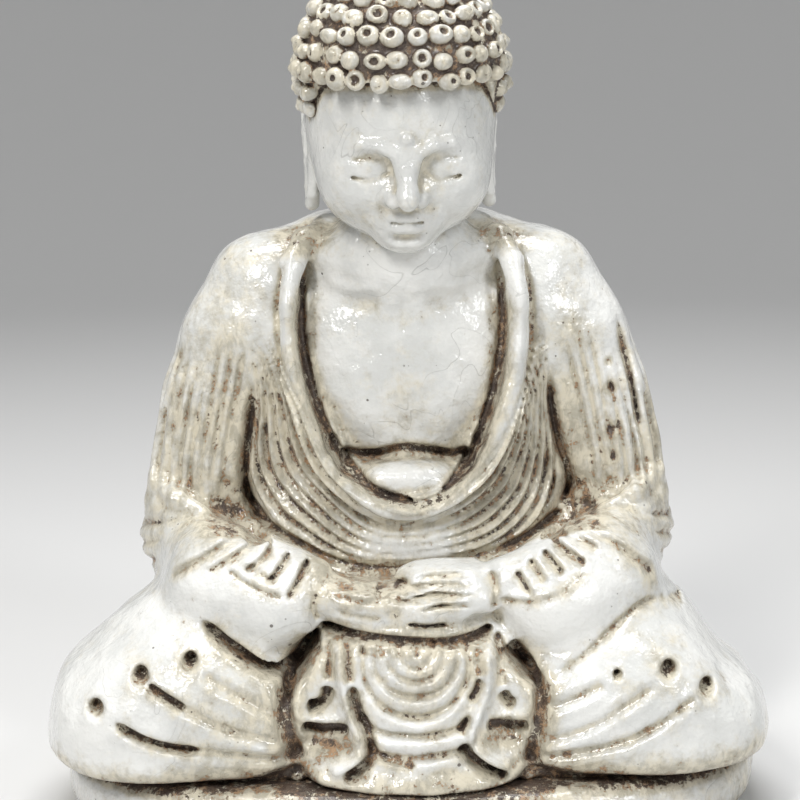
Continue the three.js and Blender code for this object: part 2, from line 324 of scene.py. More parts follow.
class Relief:
    """Height and stain drawn on a plane: across is x or y, up is z. Lengths are in mm."""

    def __init__(self, across, up):
        self.across = np.asarray(across, np.float32).ravel()
        self.up = np.asarray(up, np.float32).ravel()
        self.height = np.zeros((len(self.across), len(self.up)), np.float32)
        self.stain = np.zeros_like(self.height)
        self.rust = np.zeros_like(self.height)

    def window(self, low, high):
        i = np.searchsorted(self.across, [low[0], high[0]])
        j = np.searchsorted(self.up, [low[1], high[1]])
        return slice(max(i[0], 0), i[1] + 1), slice(max(j[0], 0), j[1] + 1)

    def far(self, line, reach):
        """The window near a line, with the signed distance to it and how far along it each point is."""
        cut = self.window(line.min(0) - reach, line.max(0) + reach)
        a, b = self.across[cut[0]][:, None], self.up[cut[1]][None, :]
        best = np.full((a.shape[0], b.shape[1]), 1e9, np.float32)
        along = np.zeros_like(best)
        side = np.ones_like(best)
        lengths = np.hypot(*np.diff(line, axis=0).T)
        total, start = max(lengths.sum(), 1e-6), 0.0
        for p, q, length in zip(line[:-1], line[1:], lengths):
            d = (q - p) / max(length, 1e-6)
            t = np.clip((a - p[0]) * d[0] + (b - p[1]) * d[1], 0, length)
            ex, ez = a - p[0] - t * d[0], b - p[1] - t * d[1]
            r = np.sqrt(ex * ex + ez * ez)
            nearer = r < best
            best = np.where(nearer, r, best)
            along = np.where(nearer, (start + t) / total, along)
            side = np.where(nearer, np.sign(d[0] * ez - d[1] * ex), side)
            start += length
        return cut, best, along, side

    def mark(self, cut, ends, r, stain, rust, spread):
        for field, amount, reach in ((self.stain, stain, spread), (self.rust, rust, spread * 2.6)):
            if amount:
                field[cut] = np.maximum(field[cut], amount * ends * np.exp(-(r / reach) ** 2))

    def line(self, points, height=0.0, width=1.0, stain=0.0, rust=0.0, spread=None, taper=0.12, power=2):
        """A ridge (height above 0) or groove (below 0). A higher power gives steeper walls."""
        line = curve(points)
        spread = spread or width * 1.2
        cut, r, along, _ = self.far(line, max(width * 2.2, spread * 4.5))
        ends = smooth_step(0, taper, along) * smooth_step(0, taper, 1 - along) if taper > 0 else 1.0
        r = r / (0.55 + 0.45 * ends)
        self.height[cut] += height * ends * np.exp(-(r / width) ** power)
        self.mark(cut, ends, r, stain, rust, spread)

    def spot(self, centre, height=0.0, width=1.0, stain=0.0, rust=0.0, spread=None, stretch=(1, 1), power=2):
        spread = spread or width * 1.2
        reach = max(width * 2.2, spread * 4.5) * max(stretch)
        cut = self.window(np.array(centre) - reach, np.array(centre) + reach)
        r = np.sqrt(((self.across[cut[0]][:, None] - centre[0]) / stretch[0]) ** 2
                    + ((self.up[cut[1]][None, :] - centre[1]) / stretch[1]) ** 2)
        self.height[cut] += height * np.exp(-(r / width) ** power)
        self.mark(cut, 1.0, r, stain, rust, spread)

    def read(self, field, across, up):
        """Values of height or stain at scattered points."""
        i = np.clip((across - self.across[0]) / (self.across[1] - self.across[0]), 0, len(self.across) - 1.01)
        j = np.clip((up - self.up[0]) / (self.up[1] - self.up[0]), 0, len(self.up) - 1.01)
        a, b = i.astype(int), j.astype(int)
        u, v = i - a, j - b
        return ((1 - u) * (1 - v) * field[a, b] + u * (1 - v) * field[a + 1, b]
                + (1 - u) * v * field[a, b + 1] + u * v * field[a + 1, b + 1])


COLLAR_OUT = [(-27, 129), (-29.5, 118), (-29.5, 106), (-24.5, 94), (-16.5, 80), (-9, 72.5), (-2, 68.3),
              (4, 68.6), (12, 73), (21, 83), (26.5, 93.5), (30, 107), (30, 118), (27.5, 129)]
BELLY_OUT = [(-36, 101), (-36, 94), (-36.6, 87), (-37.6, 80), (-37.4, 74), (-34.6, 68), (-28.5, 62.4),
             (-15, 57), (0, 55.5), (14, 57), (27, 61), (33.5, 66), (36, 72.5), (35.6, 80), (34.4, 90),
             (34, 101)]
FOLDS = 7                          # between the collar and the edge of the belly


def torso_relief(g):
    r = Relief(g.x, g.z)
    # the dark channel between chest and robe edge
    channel = [(-22.6, 127), (-24.2, 116), (-24, 107), (-22.5, 98.5), (-20, 90), (-17, 83), (-12.5, 77),
               (-7, 73), (0, 70.6), (7, 71.6), (12.5, 76), (16.5, 82), (19, 89), (21.6, 98), (23.2, 108),
               (23.4, 117), (22.2, 127)]
    r.line(channel, -1.4, 1.15, 0.95, 0.75, 1.2, taper=0.1, power=3)
    r.line([(-15.5, 82), (-12, 80.4), (-7, 80.2), (-1, 81.8), (5, 81.2), (11, 79.8), (15.5, 81.5)], -1.2, 1.1,
           0.95, 0.7, 1.05, taper=0.05, power=4)
    for side in (-1, 1):
        r.spot((side * 15, 80.0), -0.9, 2.1, 0.95, 0.7, 2.0)
        r.spot((side * 17.2, 83.4), -1.3, 1.7, 0.95, 0.7, 1.7, stretch=(1.0, 1.3))
        r.spot((side * 10, 93), 1.0, 8.5, stretch=(1.0, 0.85))
        r.line([(side * 19, 122), (side * 12, 119.5), (side * 4, 120.5)], 0.6, 1.7, taper=0.2)
        r.line([(side * 17, 117), (side * 10, 115.2), (side * 4, 116.5)], -0.35, 2.0, taper=0.2)
    r.spot((-14.4, 78), -1.3, 2.1, 0.95, 0.7, 2.2)
    r.spot((14.6, 78.4), -1.3, 2.1, 0.95, 0.7, 2.2)
    r.spot((0, 88), -0.6, 3.6, rust=0.25, spread=3.5)
    r.spot((0, 112), -0.35, 3, stretch=(0.8, 3))
    # robe edge and the nested folds outside it
    edge, border = curve(COLLAR_OUT), curve(BELLY_OUT)
    a, b = r.across[:, None], r.up[None, :]
    _, d_edge, _, side = r.far(edge, 500)
    _, d_border, _, inside = r.far(border, 500)
    share = np.clip(d_edge / np.maximum(d_edge + d_border, 1e-3), 0, 1)
    between = (smooth_step(0, 1.0, d_edge) * smooth_step(0, 0.8, d_border)
               * ((side < 0) & (inside > 0) & (b < 112)))
    phase = share * FOLDS + 0.20 * np.sin(a * 0.23 + 0.6) + 0.16 * np.sin(b * 0.27 + 1.0)
    fold = np.floor(phase)
    saw = phase - fold
    pleat = np.where(saw < 0.74, saw / 0.74, (1 - saw) / 0.26)
    at_sides = smooth_step(5, 22, np.abs(a + 0.5) + 0.22 * (b - 60))
    lengths = 1 - smooth_step(98 + 6 * np.sin(fold * 2.3), 108 + 4 * np.sin(fold * 2.3), b)
    width = np.clip((d_edge + d_border) / FOLDS / 2.0, 0.6, 1.15)
    r.height += (pleat - 0.5) * between * (0.55 + 1.25 * at_sides) * lengths * width
    creases = np.exp(-((np.minimum(saw, 1 - saw)) / 0.16) ** 2) * between * at_sides * lengths
    broken = 0.55 + 0.45 * np.sin(b * (0.33 + 0.04 * fold) + fold * 2.1 + a * 0.12)
    r.stain = np.maximum(r.stain, (0.5 + 0.5 * share) * creases * broken)
    r.rust = np.maximum(r.rust, 0.58 * between * (0.35 + 0.65 * at_sides) * lengths + 0.15 * creases)
    r.line(COLLAR_OUT, -0.75, 0.75, 0.28, 0.3, 0.7, taper=0.04)
    r.line([(-25.8, 127), (-27, 118), (-26.8, 107), (-24.2, 97), (-20, 86), (-14.5, 77.5), (-7.5, 71),
            (0, 68.9), (7.5, 70), (14.5, 76.5), (19.5, 86), (24, 97), (26.6, 107), (26.8, 118), (25.6, 127)],
           1.0, 1.6, taper=0.06)
    # armpits: narrow above, open and stained below
    r.line([(-35.8, 98), (-36.6, 90), (-37.8, 82), (-38.8, 74), (-37.6, 68), (-33.5, 63.5), (-28, 60.8)],
           -2.5, 1.3, 0.72, 0.75, 1.2, taper=0.2)
    r.line([(34.4, 100), (34.6, 92), (36.4, 82), (39, 74), (38.8, 69), (34.5, 64.5)], -2.5, 1.3, 0.75, 0.75,
           1.2, taper=0.2)
    for x, z, size in ((-43, 73.2, 1.7), (-44.5, 67.8, 2.2), (-40.5, 66.6, 2.2), (-36, 65, 1.8),
                       (-41, 71, 1.8), (41.5, 71, 2.0), (39.2, 66.4, 2.2), (43.4, 66.4, 1.6)):
        r.spot((x, z), -0.7, size, 0.8, 0.9, size * 0.95)
    for side in (-1, 1):
        r.spot((side * 38.5, 80), 0, 2, rust=0.95, spread=2.0, stretch=(1, 4.0))
        r.spot((side * 41, 69), 0, 2, rust=0.9, spread=2.2, stretch=(1.6, 1.2))
        r.spot((side * 42, 88), 0, 2, rust=0.4, spread=5, stretch=(1, 3))
    # lower edge of the robe over the belly
    r.line([(-38, 65), (-28, 61), (-15, 56.5), (0, 55.5), (14, 57), (27, 60), (38, 65)], -1.5, 1.0, 0.35, 0.8,
           1.2, taper=0.05)
    r.line([(21, 58), (30, 61.3), (38.5, 65.5)], -0.8, 1.6, 0.5, 1.0, 1.7, taper=0.15)
    r.line([(-34, 64), (-27, 61), (-20, 58.5)], -0.5, 1.0, 0.55, 0.95, 0.9, taper=0.15)
    # soft hanging folds on the upper arms
    for k in range(7):
        for side in (-1, 1):
            x = 41.2 + 2.7 * k + 0.4 * side
            top = 110 - 2.4 * k + 3 * ((k * 7) % 3)
            points = [(side * (x - 4.0 + 0.3 * k), top), (side * (x + 0.4), 90),
                      (side * (x + 2.6), 78 - k % 2), (side * (x + 3.0), 68)]
            r.line(points, -1.0, 0.85, 0.05, 0.1, 0.7, taper=0.3)
            r.line([(px + side * 1.35, pz) for px, pz in points], 0.6, 0.9, taper=0.3)
    r.line([(50.5, 113), (53, 101.5), (55, 91), (56.6, 79)], -1.5, 0.8, 0.8, 0.7, 0.75, taper=0.25)
    r.line([(-52, 108), (-55, 98), (-57, 88)], -0.8, 0.6, 0.6, 0.5, 0.6, taper=0.3)
    for z, size, dark in ((100.5, 0.6, 0.5), (94.5, 1.0, 1.0), (84.5, 1.35, 1.0), (78, 1.0, 0.5),
                          (72, 1.1, 0.5)):
        r.spot((49.6 - abs(z - 86) * 0.07, z), -1.2 * dark, size, dark, 1.0, size)
    return r


def near_relief(g):
    r = Relief(g.x, g.z)
    # pleats fanning from the crook of each sleeve
    fans = (([(-34, 67), (-41.5, 64.2), (-51, 59), (-57, 55)], 0.95, 0.1),
            ([(-33, 65.6), (-38.5, 62.6), (-46, 58.6)], 0.95, 0.12),
            ([(-30.6, 64), (-33, 61.6), (-37.4, 59.4)], 1.1, 0.25),
            ([(-26.6, 62.8), (-29, 60), (-31.4, 57.6)], 1.1, 0.35),
            ([(-22.4, 61.6), (-24.6, 58), (-27.2, 54)], 1.5, 0.8),
            ([(-41.5, 60.2), (-36, 57.4), (-27.2, 54.4)], 0.9, 0.08),
            ([(-36.4, 61), (-33.4, 59.6), (-29.6, 57.8)], 0.6, 0.1), ([(24.2, 59), (27.5, 53.6)], 1.2, 0.35),
            ([(27.2, 61), (30.8, 56.4)], 1.3, 0.4), ([(30.4, 62.4), (35, 58)], 1.4, 0.45),
            ([(32.6, 64), (40.4, 59.6)], 1.2, 0.4), ([(35.4, 66), (43.6, 62.2)], 1.1, 0.3),
            ([(19, 52.6), (27.5, 52.8), (34.4, 55.2), (41.4, 59.8)], 0.8, 0.06),
            ([(37, 67.4), (46, 63.6), (53, 58.6), (57, 54.5)], 1.0, 0.3))
    for points, depth, stain in fans:
        r.line(points, -depth, 0.8, stain, 0.55, 0.75, taper=0.15)
        shift = np.array((-0.7, 1.2)) if points[0][0] < 0 else np.array((1.1, 0.9))
        r.line([tuple(np.add(p, shift)) for p in points], 0.45, 0.8, taper=0.15)
    r.spot((56.5, 60), -0.9, 0.8, 0.9, 0.8, 0.8)
    r.line([(54, 58), (57.4, 55.6), (60.5, 53)], -1.3, 1.0, 0.9, 0.9, 1.1, taper=0.2)
    # lower outline of the sleeve falls
    r.line([(-47.5, 49), (-42, 44.6), (-36, 40.6), (-31, 38.2), (-25.6, 38.4), (-22, 43), (-19.6, 48)], -2.6,
           1.15, 0.95, 0.6, 1.1, taper=0.12, power=3)
    r.line([(19, 46), (21, 41.5), (25.6, 37.2), (30, 35.8)], -1.8, 1.1, 0.7, 0.75, 1.0, taper=0.15, power=3)
    r.line([(31, 36), (38.5, 40.5), (45.5, 45.6), (52.5, 49.8), (58, 49.8)], -0.9, 0.9, 0.05, 0.25, 0.8,
           taper=0.12)
    r.line([(57, 50.2), (61, 49), (64.5, 47)], -0.8, 0.6, 0.85, 0.5, 0.6, taper=0.2)
    # channels between shins and the hanging robe
    r.line([(-20.5, 45), (-24.6, 40), (-27.6, 35), (-28, 29), (-27, 23.5), (-25.5, 18)], -2.8, 2.0, 0.9, 1.0,
           1.8, taper=0.06, power=3)
    r.line([(22, 43), (25.6, 38.8), (29, 34.4), (28.8, 28.5), (27.4, 22), (26.6, 16.5)], -2.5, 1.7, 0.75, 1.0,
           1.5, taper=0.06, power=3)
    r.line([(-20.5, 47.6), (-14.5, 46), (-8, 45.4), (-2, 45), (7, 44.4), (14, 44.8), (19.5, 46)], -2.4, 1.05,
           0.85, 0.9, 1.1, taper=0.05, power=3)
    # hanging robe, left half as seen: a hooked ribbon between dark slots
    r.line([(-15.6, 45), (-15.6, 39.5), (-14.4, 33.5), (-12.8, 28), (-11.4, 24), (-11.8, 21), (-14.8, 18.8),
            (-18.6, 17)], 2.3, 1.25, taper=0.06)
    r.line([(-13.4, 36), (-12, 30.5), (-9.6, 25.6), (-8.8, 21.4), (-10.2, 18.8), (-12.6, 17), (-15.6, 15.8)],
           -2.8, 1.2, 1.0, 0.7, 1.25, taper=0.08, power=3)
    r.line([(-14, 45), (-13.8, 40), (-13.4, 36)], -1.2, 0.8, 0.3, 0.95, 0.8, taper=0.1)
    r.line([(-9.4, 21.4), (-4, 19.8), (1, 18.8)], -1.6, 0.8, 0.45, 1.0, 0.8, taper=0.1)
    r.line([(-18.4, 45), (-18.2, 40), (-18.3, 36)], -1.1, 0.75, 0.25, 0.95, 0.75, taper=0.12)
    r.line([(-18.3, 35.4), (-18.8, 32.6), (-20.6, 30.8), (-23.4, 30.4)], -2.8, 1.3, 1.0, 0.5, 1.3, taper=0.12,
           power=3)
    r.line([(-25.6, 33), (-25.4, 29.8), (-23, 28.3), (-19, 28.2), (-15.5, 28.4)], 1.1, 0.95, taper=0.12)
    r.spot((-21.8, 38), 1.0, 2.8, stretch=(1, 1.6))
    r.line([(-24.6, 26.8), (-20.5, 25.6), (-17, 25.9), (-13.4, 25.9)], -2.8, 1.2, 1.0, 0.6, 1.4, taper=0.1,
           power=3)
    r.spot((-19.2, 22.8), -2.2, 2.3, 0.55, 1.0, 2.0, stretch=(2.2, 0.85), power=3)
    r.spot((-25.5, 21), -0.6, 1.6, 0.2, 1.0, 1.5, stretch=(0.8, 2))
    # right half
    r.line([(17.4, 43), (17.2, 35), (15, 29.4), (13.4, 26), (14, 22.8), (17, 19.8), (22.5, 17.2)], 2.2, 1.25,
           taper=0.06)
    r.line([(15.7, 36.8), (14.7, 34.2), (13, 31.6)], -1.7, 0.75, 0.85, 0.6, 0.75, taper=0.15)
    r.line([(12.6, 28.4), (10.6, 25.2)], -1.7, 0.75, 0.8, 0.6, 0.75, taper=0.15)
    r.line([(10.6, 22.8), (12.6, 20.6), (16, 17.8), (21.2, 15.4)], -3.2, 1.35, 1.0, 0.5, 1.35, taper=0.08,
           power=3)
    r.line([(14.6, 43.5), (14.8, 40), (15.6, 37)], -0.9, 0.8, 0.2, 0.9, 0.9, taper=0.12)
    r.line([(20.4, 42), (20.4, 37), (20.6, 34.4)], -0.7, 0.7, 0.1, 0.8, 0.7, taper=0.12)
    r.line([(20.5, 33.6), (21.4, 31.6), (23.4, 30.2)], -2.6, 1.2, 0.95, 0.4, 1.2, taper=0.15, power=3)
    r.spot((24, 36.5), 0.9, 2.6, stretch=(1, 1.6))
    r.line([(26.4, 35), (26.2, 30), (23.4, 28.4), (19.6, 28.6)], 1.1, 0.9, taper=0.12)
    r.spot((21.6, 27.9), -1.0, 0.65, 0.9, 0.3, 0.6)
    r.line([(16.6, 26.2), (19.5, 26.2), (23, 25.6), (26.6, 26)], -2.8, 1.3, 1.0, 0.7, 1.4, taper=0.1, power=3)
    r.spot((21.6, 23.6), -1.6, 1.7, 0.45, 1.0, 1.5, stretch=(2.4, 0.9), power=3)
    # nested folds in its middle
    for half, low, depth in ((12.6, 20.6, 1.0), (11.6, 25, 1.2), (11.8, 28.8, 1.2), (9.3, 33.2, 1.0),
                             (6.4, 36.8, 0.8), (3.6, 39.6, 0.6)):
        x = 1.3
        top = 44.6 if low > 27 else low + 4.5
        ring = [(x - half, top), (x - half * 0.96, low + (top - low) * 0.5),
                (x - half * 0.62, low + (top - low) * 0.14), (x, low),
                (x + half * 0.62, low + (top - low) * 0.14), (x + half * 0.96, low + (top - low) * 0.5),
                (x + half, top)]
        r.line(ring, -1.2 * depth, 0.85, 0.05, 0.28, 0.8, taper=0.04)
        r.line([(px, pz - 1.6) for px, pz in ring[1:-1]], 0.8 * depth, 1.2, taper=0.1)
    for x in (-10.4, -6.4, -2.6, 1.6, 5.4, 9.2, 12.6):
        r.line([(x, 45), (x * 0.98, 41.4)], -0.8, 0.6, 0.45, 0.95, 0.65, taper=0.3)
    r.spot((1, 36), 0, 5, rust=0.36, spread=6)
    # folds on the shins, each running from a round pit
    for pit, size in (((-70, 31.5), 1.25), ((-60, 38.4), 1.3), ((-49, 41.2), 1.25), ((46, 37.5), 0.7),
                      ((57.5, 38), 1.35), ((66, 33.5), 1.35)):
        r.spot(pit, 0.8, size * 2.2)
        r.spot(pit, -3.8, size * 1.35, 1.0, 0.4, size * 1.3, power=3)
    for path, slot, depth in (
            ([(-66.5, 29.4), (-60, 25.8), (-53.5, 23.6), (-46, 22.4), (-36, 21), (-26, 19.4)], 4, 1.2),
            ([(-58.8, 37.2), (-55, 34.8), (-49.5, 31.8), (-41, 27.4), (-27.5, 23.2)], 3, 1.2),
            ([(-46.8, 39.2), (-40, 35.2), (-34, 31.8), (-28.5, 29)], 0, 1.0),
            ([(43.6, 35.8), (38.5, 33.4), (30.5, 30)], 0, 0.9),
            ([(55, 36), (45, 29.6), (38.5, 26), (28, 22.6)], 0, 1.0),
            ([(63.6, 32.6), (55, 27), (46.5, 23), (36.5, 20.6), (27.5, 19)], 0, 1.3)):
        r.line(path, -0.8 * depth, 1.2, 0.05, 0.30, 0.9, taper=0.12)
        r.line([(x, z - 2.1) for x, z in path], 0.6, 1.3, taper=0.15)
        r.line([(x, z + 2.0) for x, z in path], 0.25, 1.2, taper=0.15)
        if slot:
            r.line(path[:slot], -1.9, 0.85, 1.0, 0.6, 0.85, taper=0.15, power=3)
    r.line([(63.6, 32.6), (58, 29)], -0.5, 0.6, 0.5, 0.6, 0.6, taper=0.2)
    # hem of the hanging robe, and the line where the figure meets the plinth
    r.line([(-25, 18.6), (-20.5, 15.4), (-10, 13.8), (2, 13.4), (14, 13.8), (22, 15.2), (26, 18)], 1.0, 1.5,
           taper=0.1)
    foot = [(-84, 15.4), (-70, 13.4), (-50, 13), (-34, 14), (-26, 16.4), (-20, 12.6), (0, 11.4), (20, 12.6),
            (27, 16), (36, 14), (52, 13), (70, 13.4), (84, 15.4)]
    r.line(foot, -1.5, 1.5, 1.0, 1.0, 2.3, taper=0.01)
    # fingers laid side by side
    for k, points in enumerate(([(1, 51.2), (8, 52.4), (16, 52.4)], [(-4, 52.8), (5, 54.1), (16.5, 54.4)],
                                [(-3, 54.8), (6, 56.2), (16, 56.2)], [(0, 57.0), (8, 57.9), (15, 58.0)])):
        r.line(points, -1.0, 0.55, 0.42 - 0.10 * k, 0.45, 0.5, taper=0.3)
    r.line([(-8.5, 54.2), (-4, 55.4), (1, 56.6)], -1.2, 0.7, 0.6, 0.8, 0.7, taper=0.2)
    r.line([(-17, 55), (-10, 53.6), (-4.5, 53.6), (0.5, 53.4)], -0.9, 0.6, 0.15, 0.5, 0.6, taper=0.15)
    r.line([(-17, 51.6), (-10, 50), (-5, 50.2)], -0.7, 0.6, 0.2, 0.4, 0.6, taper=0.2)
    r.line([(18.6, 59), (19.4, 55), (19, 50.5)], -0.9, 0.7, 0.12, 0.6, 0.7, taper=0.15)
    r.line([(-20.6, 55.5), (-21.4, 52), (-20.4, 48.5)], -0.9, 0.7, 0.06, 0.4, 0.7, taper=0.15)
    # stained hollow of the palm
    r.spot((-12.5, 57.6), -0.6, 2.8, 0.4, 1.0, 2.2, stretch=(2.0, 1.0))
    r.spot((-3.4, 51), -0.8, 1.0, 0.85, 0.4, 1.0)
    r.line([(-1, 48.6), (4, 47.9), (9, 48)], -1.0, 0.55, 0.7, 0.4, 0.5, taper=0.15)
    return r


def back_relief(g):
    r = Relief(g.x, g.z)
    for k in range(7):
        z = 118 - 12.5 * k
        r.line([(-44 + 1.5 * k, z + 8), (-22, z - 4 - k), (0, z - 10 - 1.5 * k), (22, z - 6 - k),
                (42 - k, z + 9)], -1.0, 1.2, 0.3, 0.6, 1.0, taper=0.2)
        r.line([(-44 + 1.5 * k, z + 5), (-22, z - 7 - k), (0, z - 13 - 1.5 * k), (22, z - 9 - k),
                (42 - k, z + 6)], 0.7, 2.4, taper=0.2)
    r.line([(-24, 131), (-12, 127), (0, 125.6), (12, 127), (24, 131)], -1.6, 1.1, 0.8, 0.9, 1.2, taper=0.1)
    for side in (-1, 1):
        r.line([(side * 37, 108), (side * 41, 88), (side * 44, 64)], -2.2, 1.4, 0.7, 0.9, 1.4, taper=0.25)
        r.line([(side * 46, 50), (side * 30, 44), (side * 8, 41)], -1.0, 1.4, 0.3, 0.7, 1.2, taper=0.2)
    r.line([(-52, 17), (-20, 15.4), (20, 15.4), (52, 17)], -0.8, 1.2, 0.7, 1.0, 1.4, taper=0.03)
    return r


def side_relief(g, sign):
    r = Relief(g.y, g.z)
    for k in range(7):
        y = -8 + 6.2 * k + 0.8 * sign
        points = [(y + 8 - 0.5 * k, 118 - abs(k - 3) * 3), (y + 4, 98), (y + 1, 80),
                  (y - 1, 66 - 2 * (k % 2))]
        r.line(points, -0.75, 1.0, 0.08, 0.15, 0.8, taper=0.35)
        r.line([(a + 1.8, b) for a, b in points], 0.30, 1.4, taper=0.35)
    for k in range(3):
        r.line([(-12, 66 - 4.4 * k), (4, 62.5 - 4.6 * k), (20, 65 - 5 * k)], -0.9, 0.9, 0.35, 0.7, 0.9,
               taper=0.2)
    for k in range(3):
        r.line([(-34 + 5 * k, 20 + 6 * k), (-12, 24 + 5.5 * k), (16, 21 + 4 * k)], -0.5, 1.5, 0.05, 0.3, 1.2,
               taper=0.25)
    r.line([(-50, 14), (-10, 13), (34, 14)], -0.6, 1.0, 0.7, 1.0, 1.3, taper=0.02)
    return r


# ---------------------------------------------------------------- glaze
def nodes_of(name):
    material = bpy.data.materials.new(name)
    material.use_nodes = True
    tree = material.node_tree
    return material, tree, tree.nodes["Principled BSDF"]


class Graph:
    """Short ways to add and link shader nodes."""

    def __init__(self, tree):
        self.tree = tree
        self.place = self.add("ShaderNodeTexCoord").outputs["Object"]

    def add(self, kind, **settings):
        node = self.tree.nodes.new(kind)
        for key, value in settings.items():
            setattr(node, key, value)
        return node

    def feed(self, socket, value):
        if isinstance(value, bpy.types.NodeSocket):
            self.tree.links.new(value, socket)
        else:
            socket.default_value = value

    def math(self, operation, a, b=0.0):
        node = self.add("ShaderNodeMath", operation=operation)
        self.feed(node.inputs[0], a)
        self.feed(node.inputs[1], b)
        return node.outputs[0]

    def times(self, value, amount):
        return self.math("MULTIPLY", value, amount)

    def total(self, *terms):
        result = terms[0]
        for term in terms[1:]:
            result = self.math("ADD", result, term)
        return result

    def spread(self, noise, amount):
        """Noise about zero, as wide as the amount."""
        return self.times(self.math("SUBTRACT", noise, 0.5), amount)

    def attribute(self, name):
        return self.add("ShaderNodeAttribute", attribute_name=name).outputs["Fac"]

    def noise(self, scale, detail=4.0, roughness=0.55, distortion=0.0, stretch=(1, 1, 1), offset=0.0):
        node = self.add("ShaderNodeTexNoise")
        mapping = self.add("ShaderNodeMapping")
        mapping.inputs["Scale"].default_value = stretch
        mapping.inputs["Location"].default_value = (offset, offset * 0.7, -offset)
        self.feed(mapping.inputs["Vector"], self.place)
        self.feed(node.inputs["Vector"], mapping.outputs[0])
        node.inputs["Scale"].default_value = scale
        node.inputs["Detail"].default_value = detail
        node.inputs["Roughness"].default_value = roughness
        node.inputs["Distortion"].default_value = distortion
        return node.outputs["Fac"]

    def cell_distance(self, scale, offset=0.0):
        node = self.add("ShaderNodeTexVoronoi", feature="F1")
        mapping = self.add("ShaderNodeMapping")
        mapping.inputs["Location"].default_value = (offset, -offset, offset * 0.5)
        self.feed(mapping.inputs["Vector"], self.place)
        self.feed(node.inputs["Vector"], mapping.outputs[0])
        node.inputs["Scale"].default_value = scale
        return node.outputs["Distance"]

    def ramp(self, value, low, high):
        """0 below low, 1 above high, smooth between."""
        node = self.add("ShaderNodeMapRange", interpolation_type="SMOOTHSTEP")
        self.feed(node.inputs["Value"], value)
        node.inputs["From Min"].default_value = low
        node.inputs["From Max"].default_value = high
        return node.outputs["Result"]

    def blend(self, factor, a, b):
        """Colour a where the factor is 0, b where it is 1."""
        node = self.add("ShaderNodeMix", data_type="RGBA")
        self.feed(node.inputs["Factor"], factor)
        self.feed(node.inputs["A"], a)
        self.feed(node.inputs["B"], b)
        return node.outputs["Result"]

    def bump(self, shader, height, strength, depth):
        node = self.add("ShaderNodeBump")
        node.inputs["Strength"].default_value = strength
        node.inputs["Distance"].default_value = depth
        self.feed(node.inputs["Height"], height)
        self.feed(shader.inputs["Normal"], node.outputs["Normal"])


# glaze colours; those on one line are the two ends of a blend
THICK_WHITE = (0.80, 0.80, 0.775, 1)
THIN_WHITE = (0.655, 0.66, 0.64, 1)
GLOSSY_WHITE = (0.82, 0.815, 0.785, 1)
CREAM, GREY_CREAM = (0.64, 0.585, 0.455, 1), (0.42, 0.385, 0.295, 1)
DARK_SIENNA, SIENNA = (0.115, 0.076, 0.052, 1), (0.46, 0.285, 0.158, 1)
UMBER, WORN_UMBER = (0.050, 0.032, 0.027, 1), (0.11, 0.087, 0.067, 1)
PINHOLE = (0.07, 0.052, 0.038, 1)


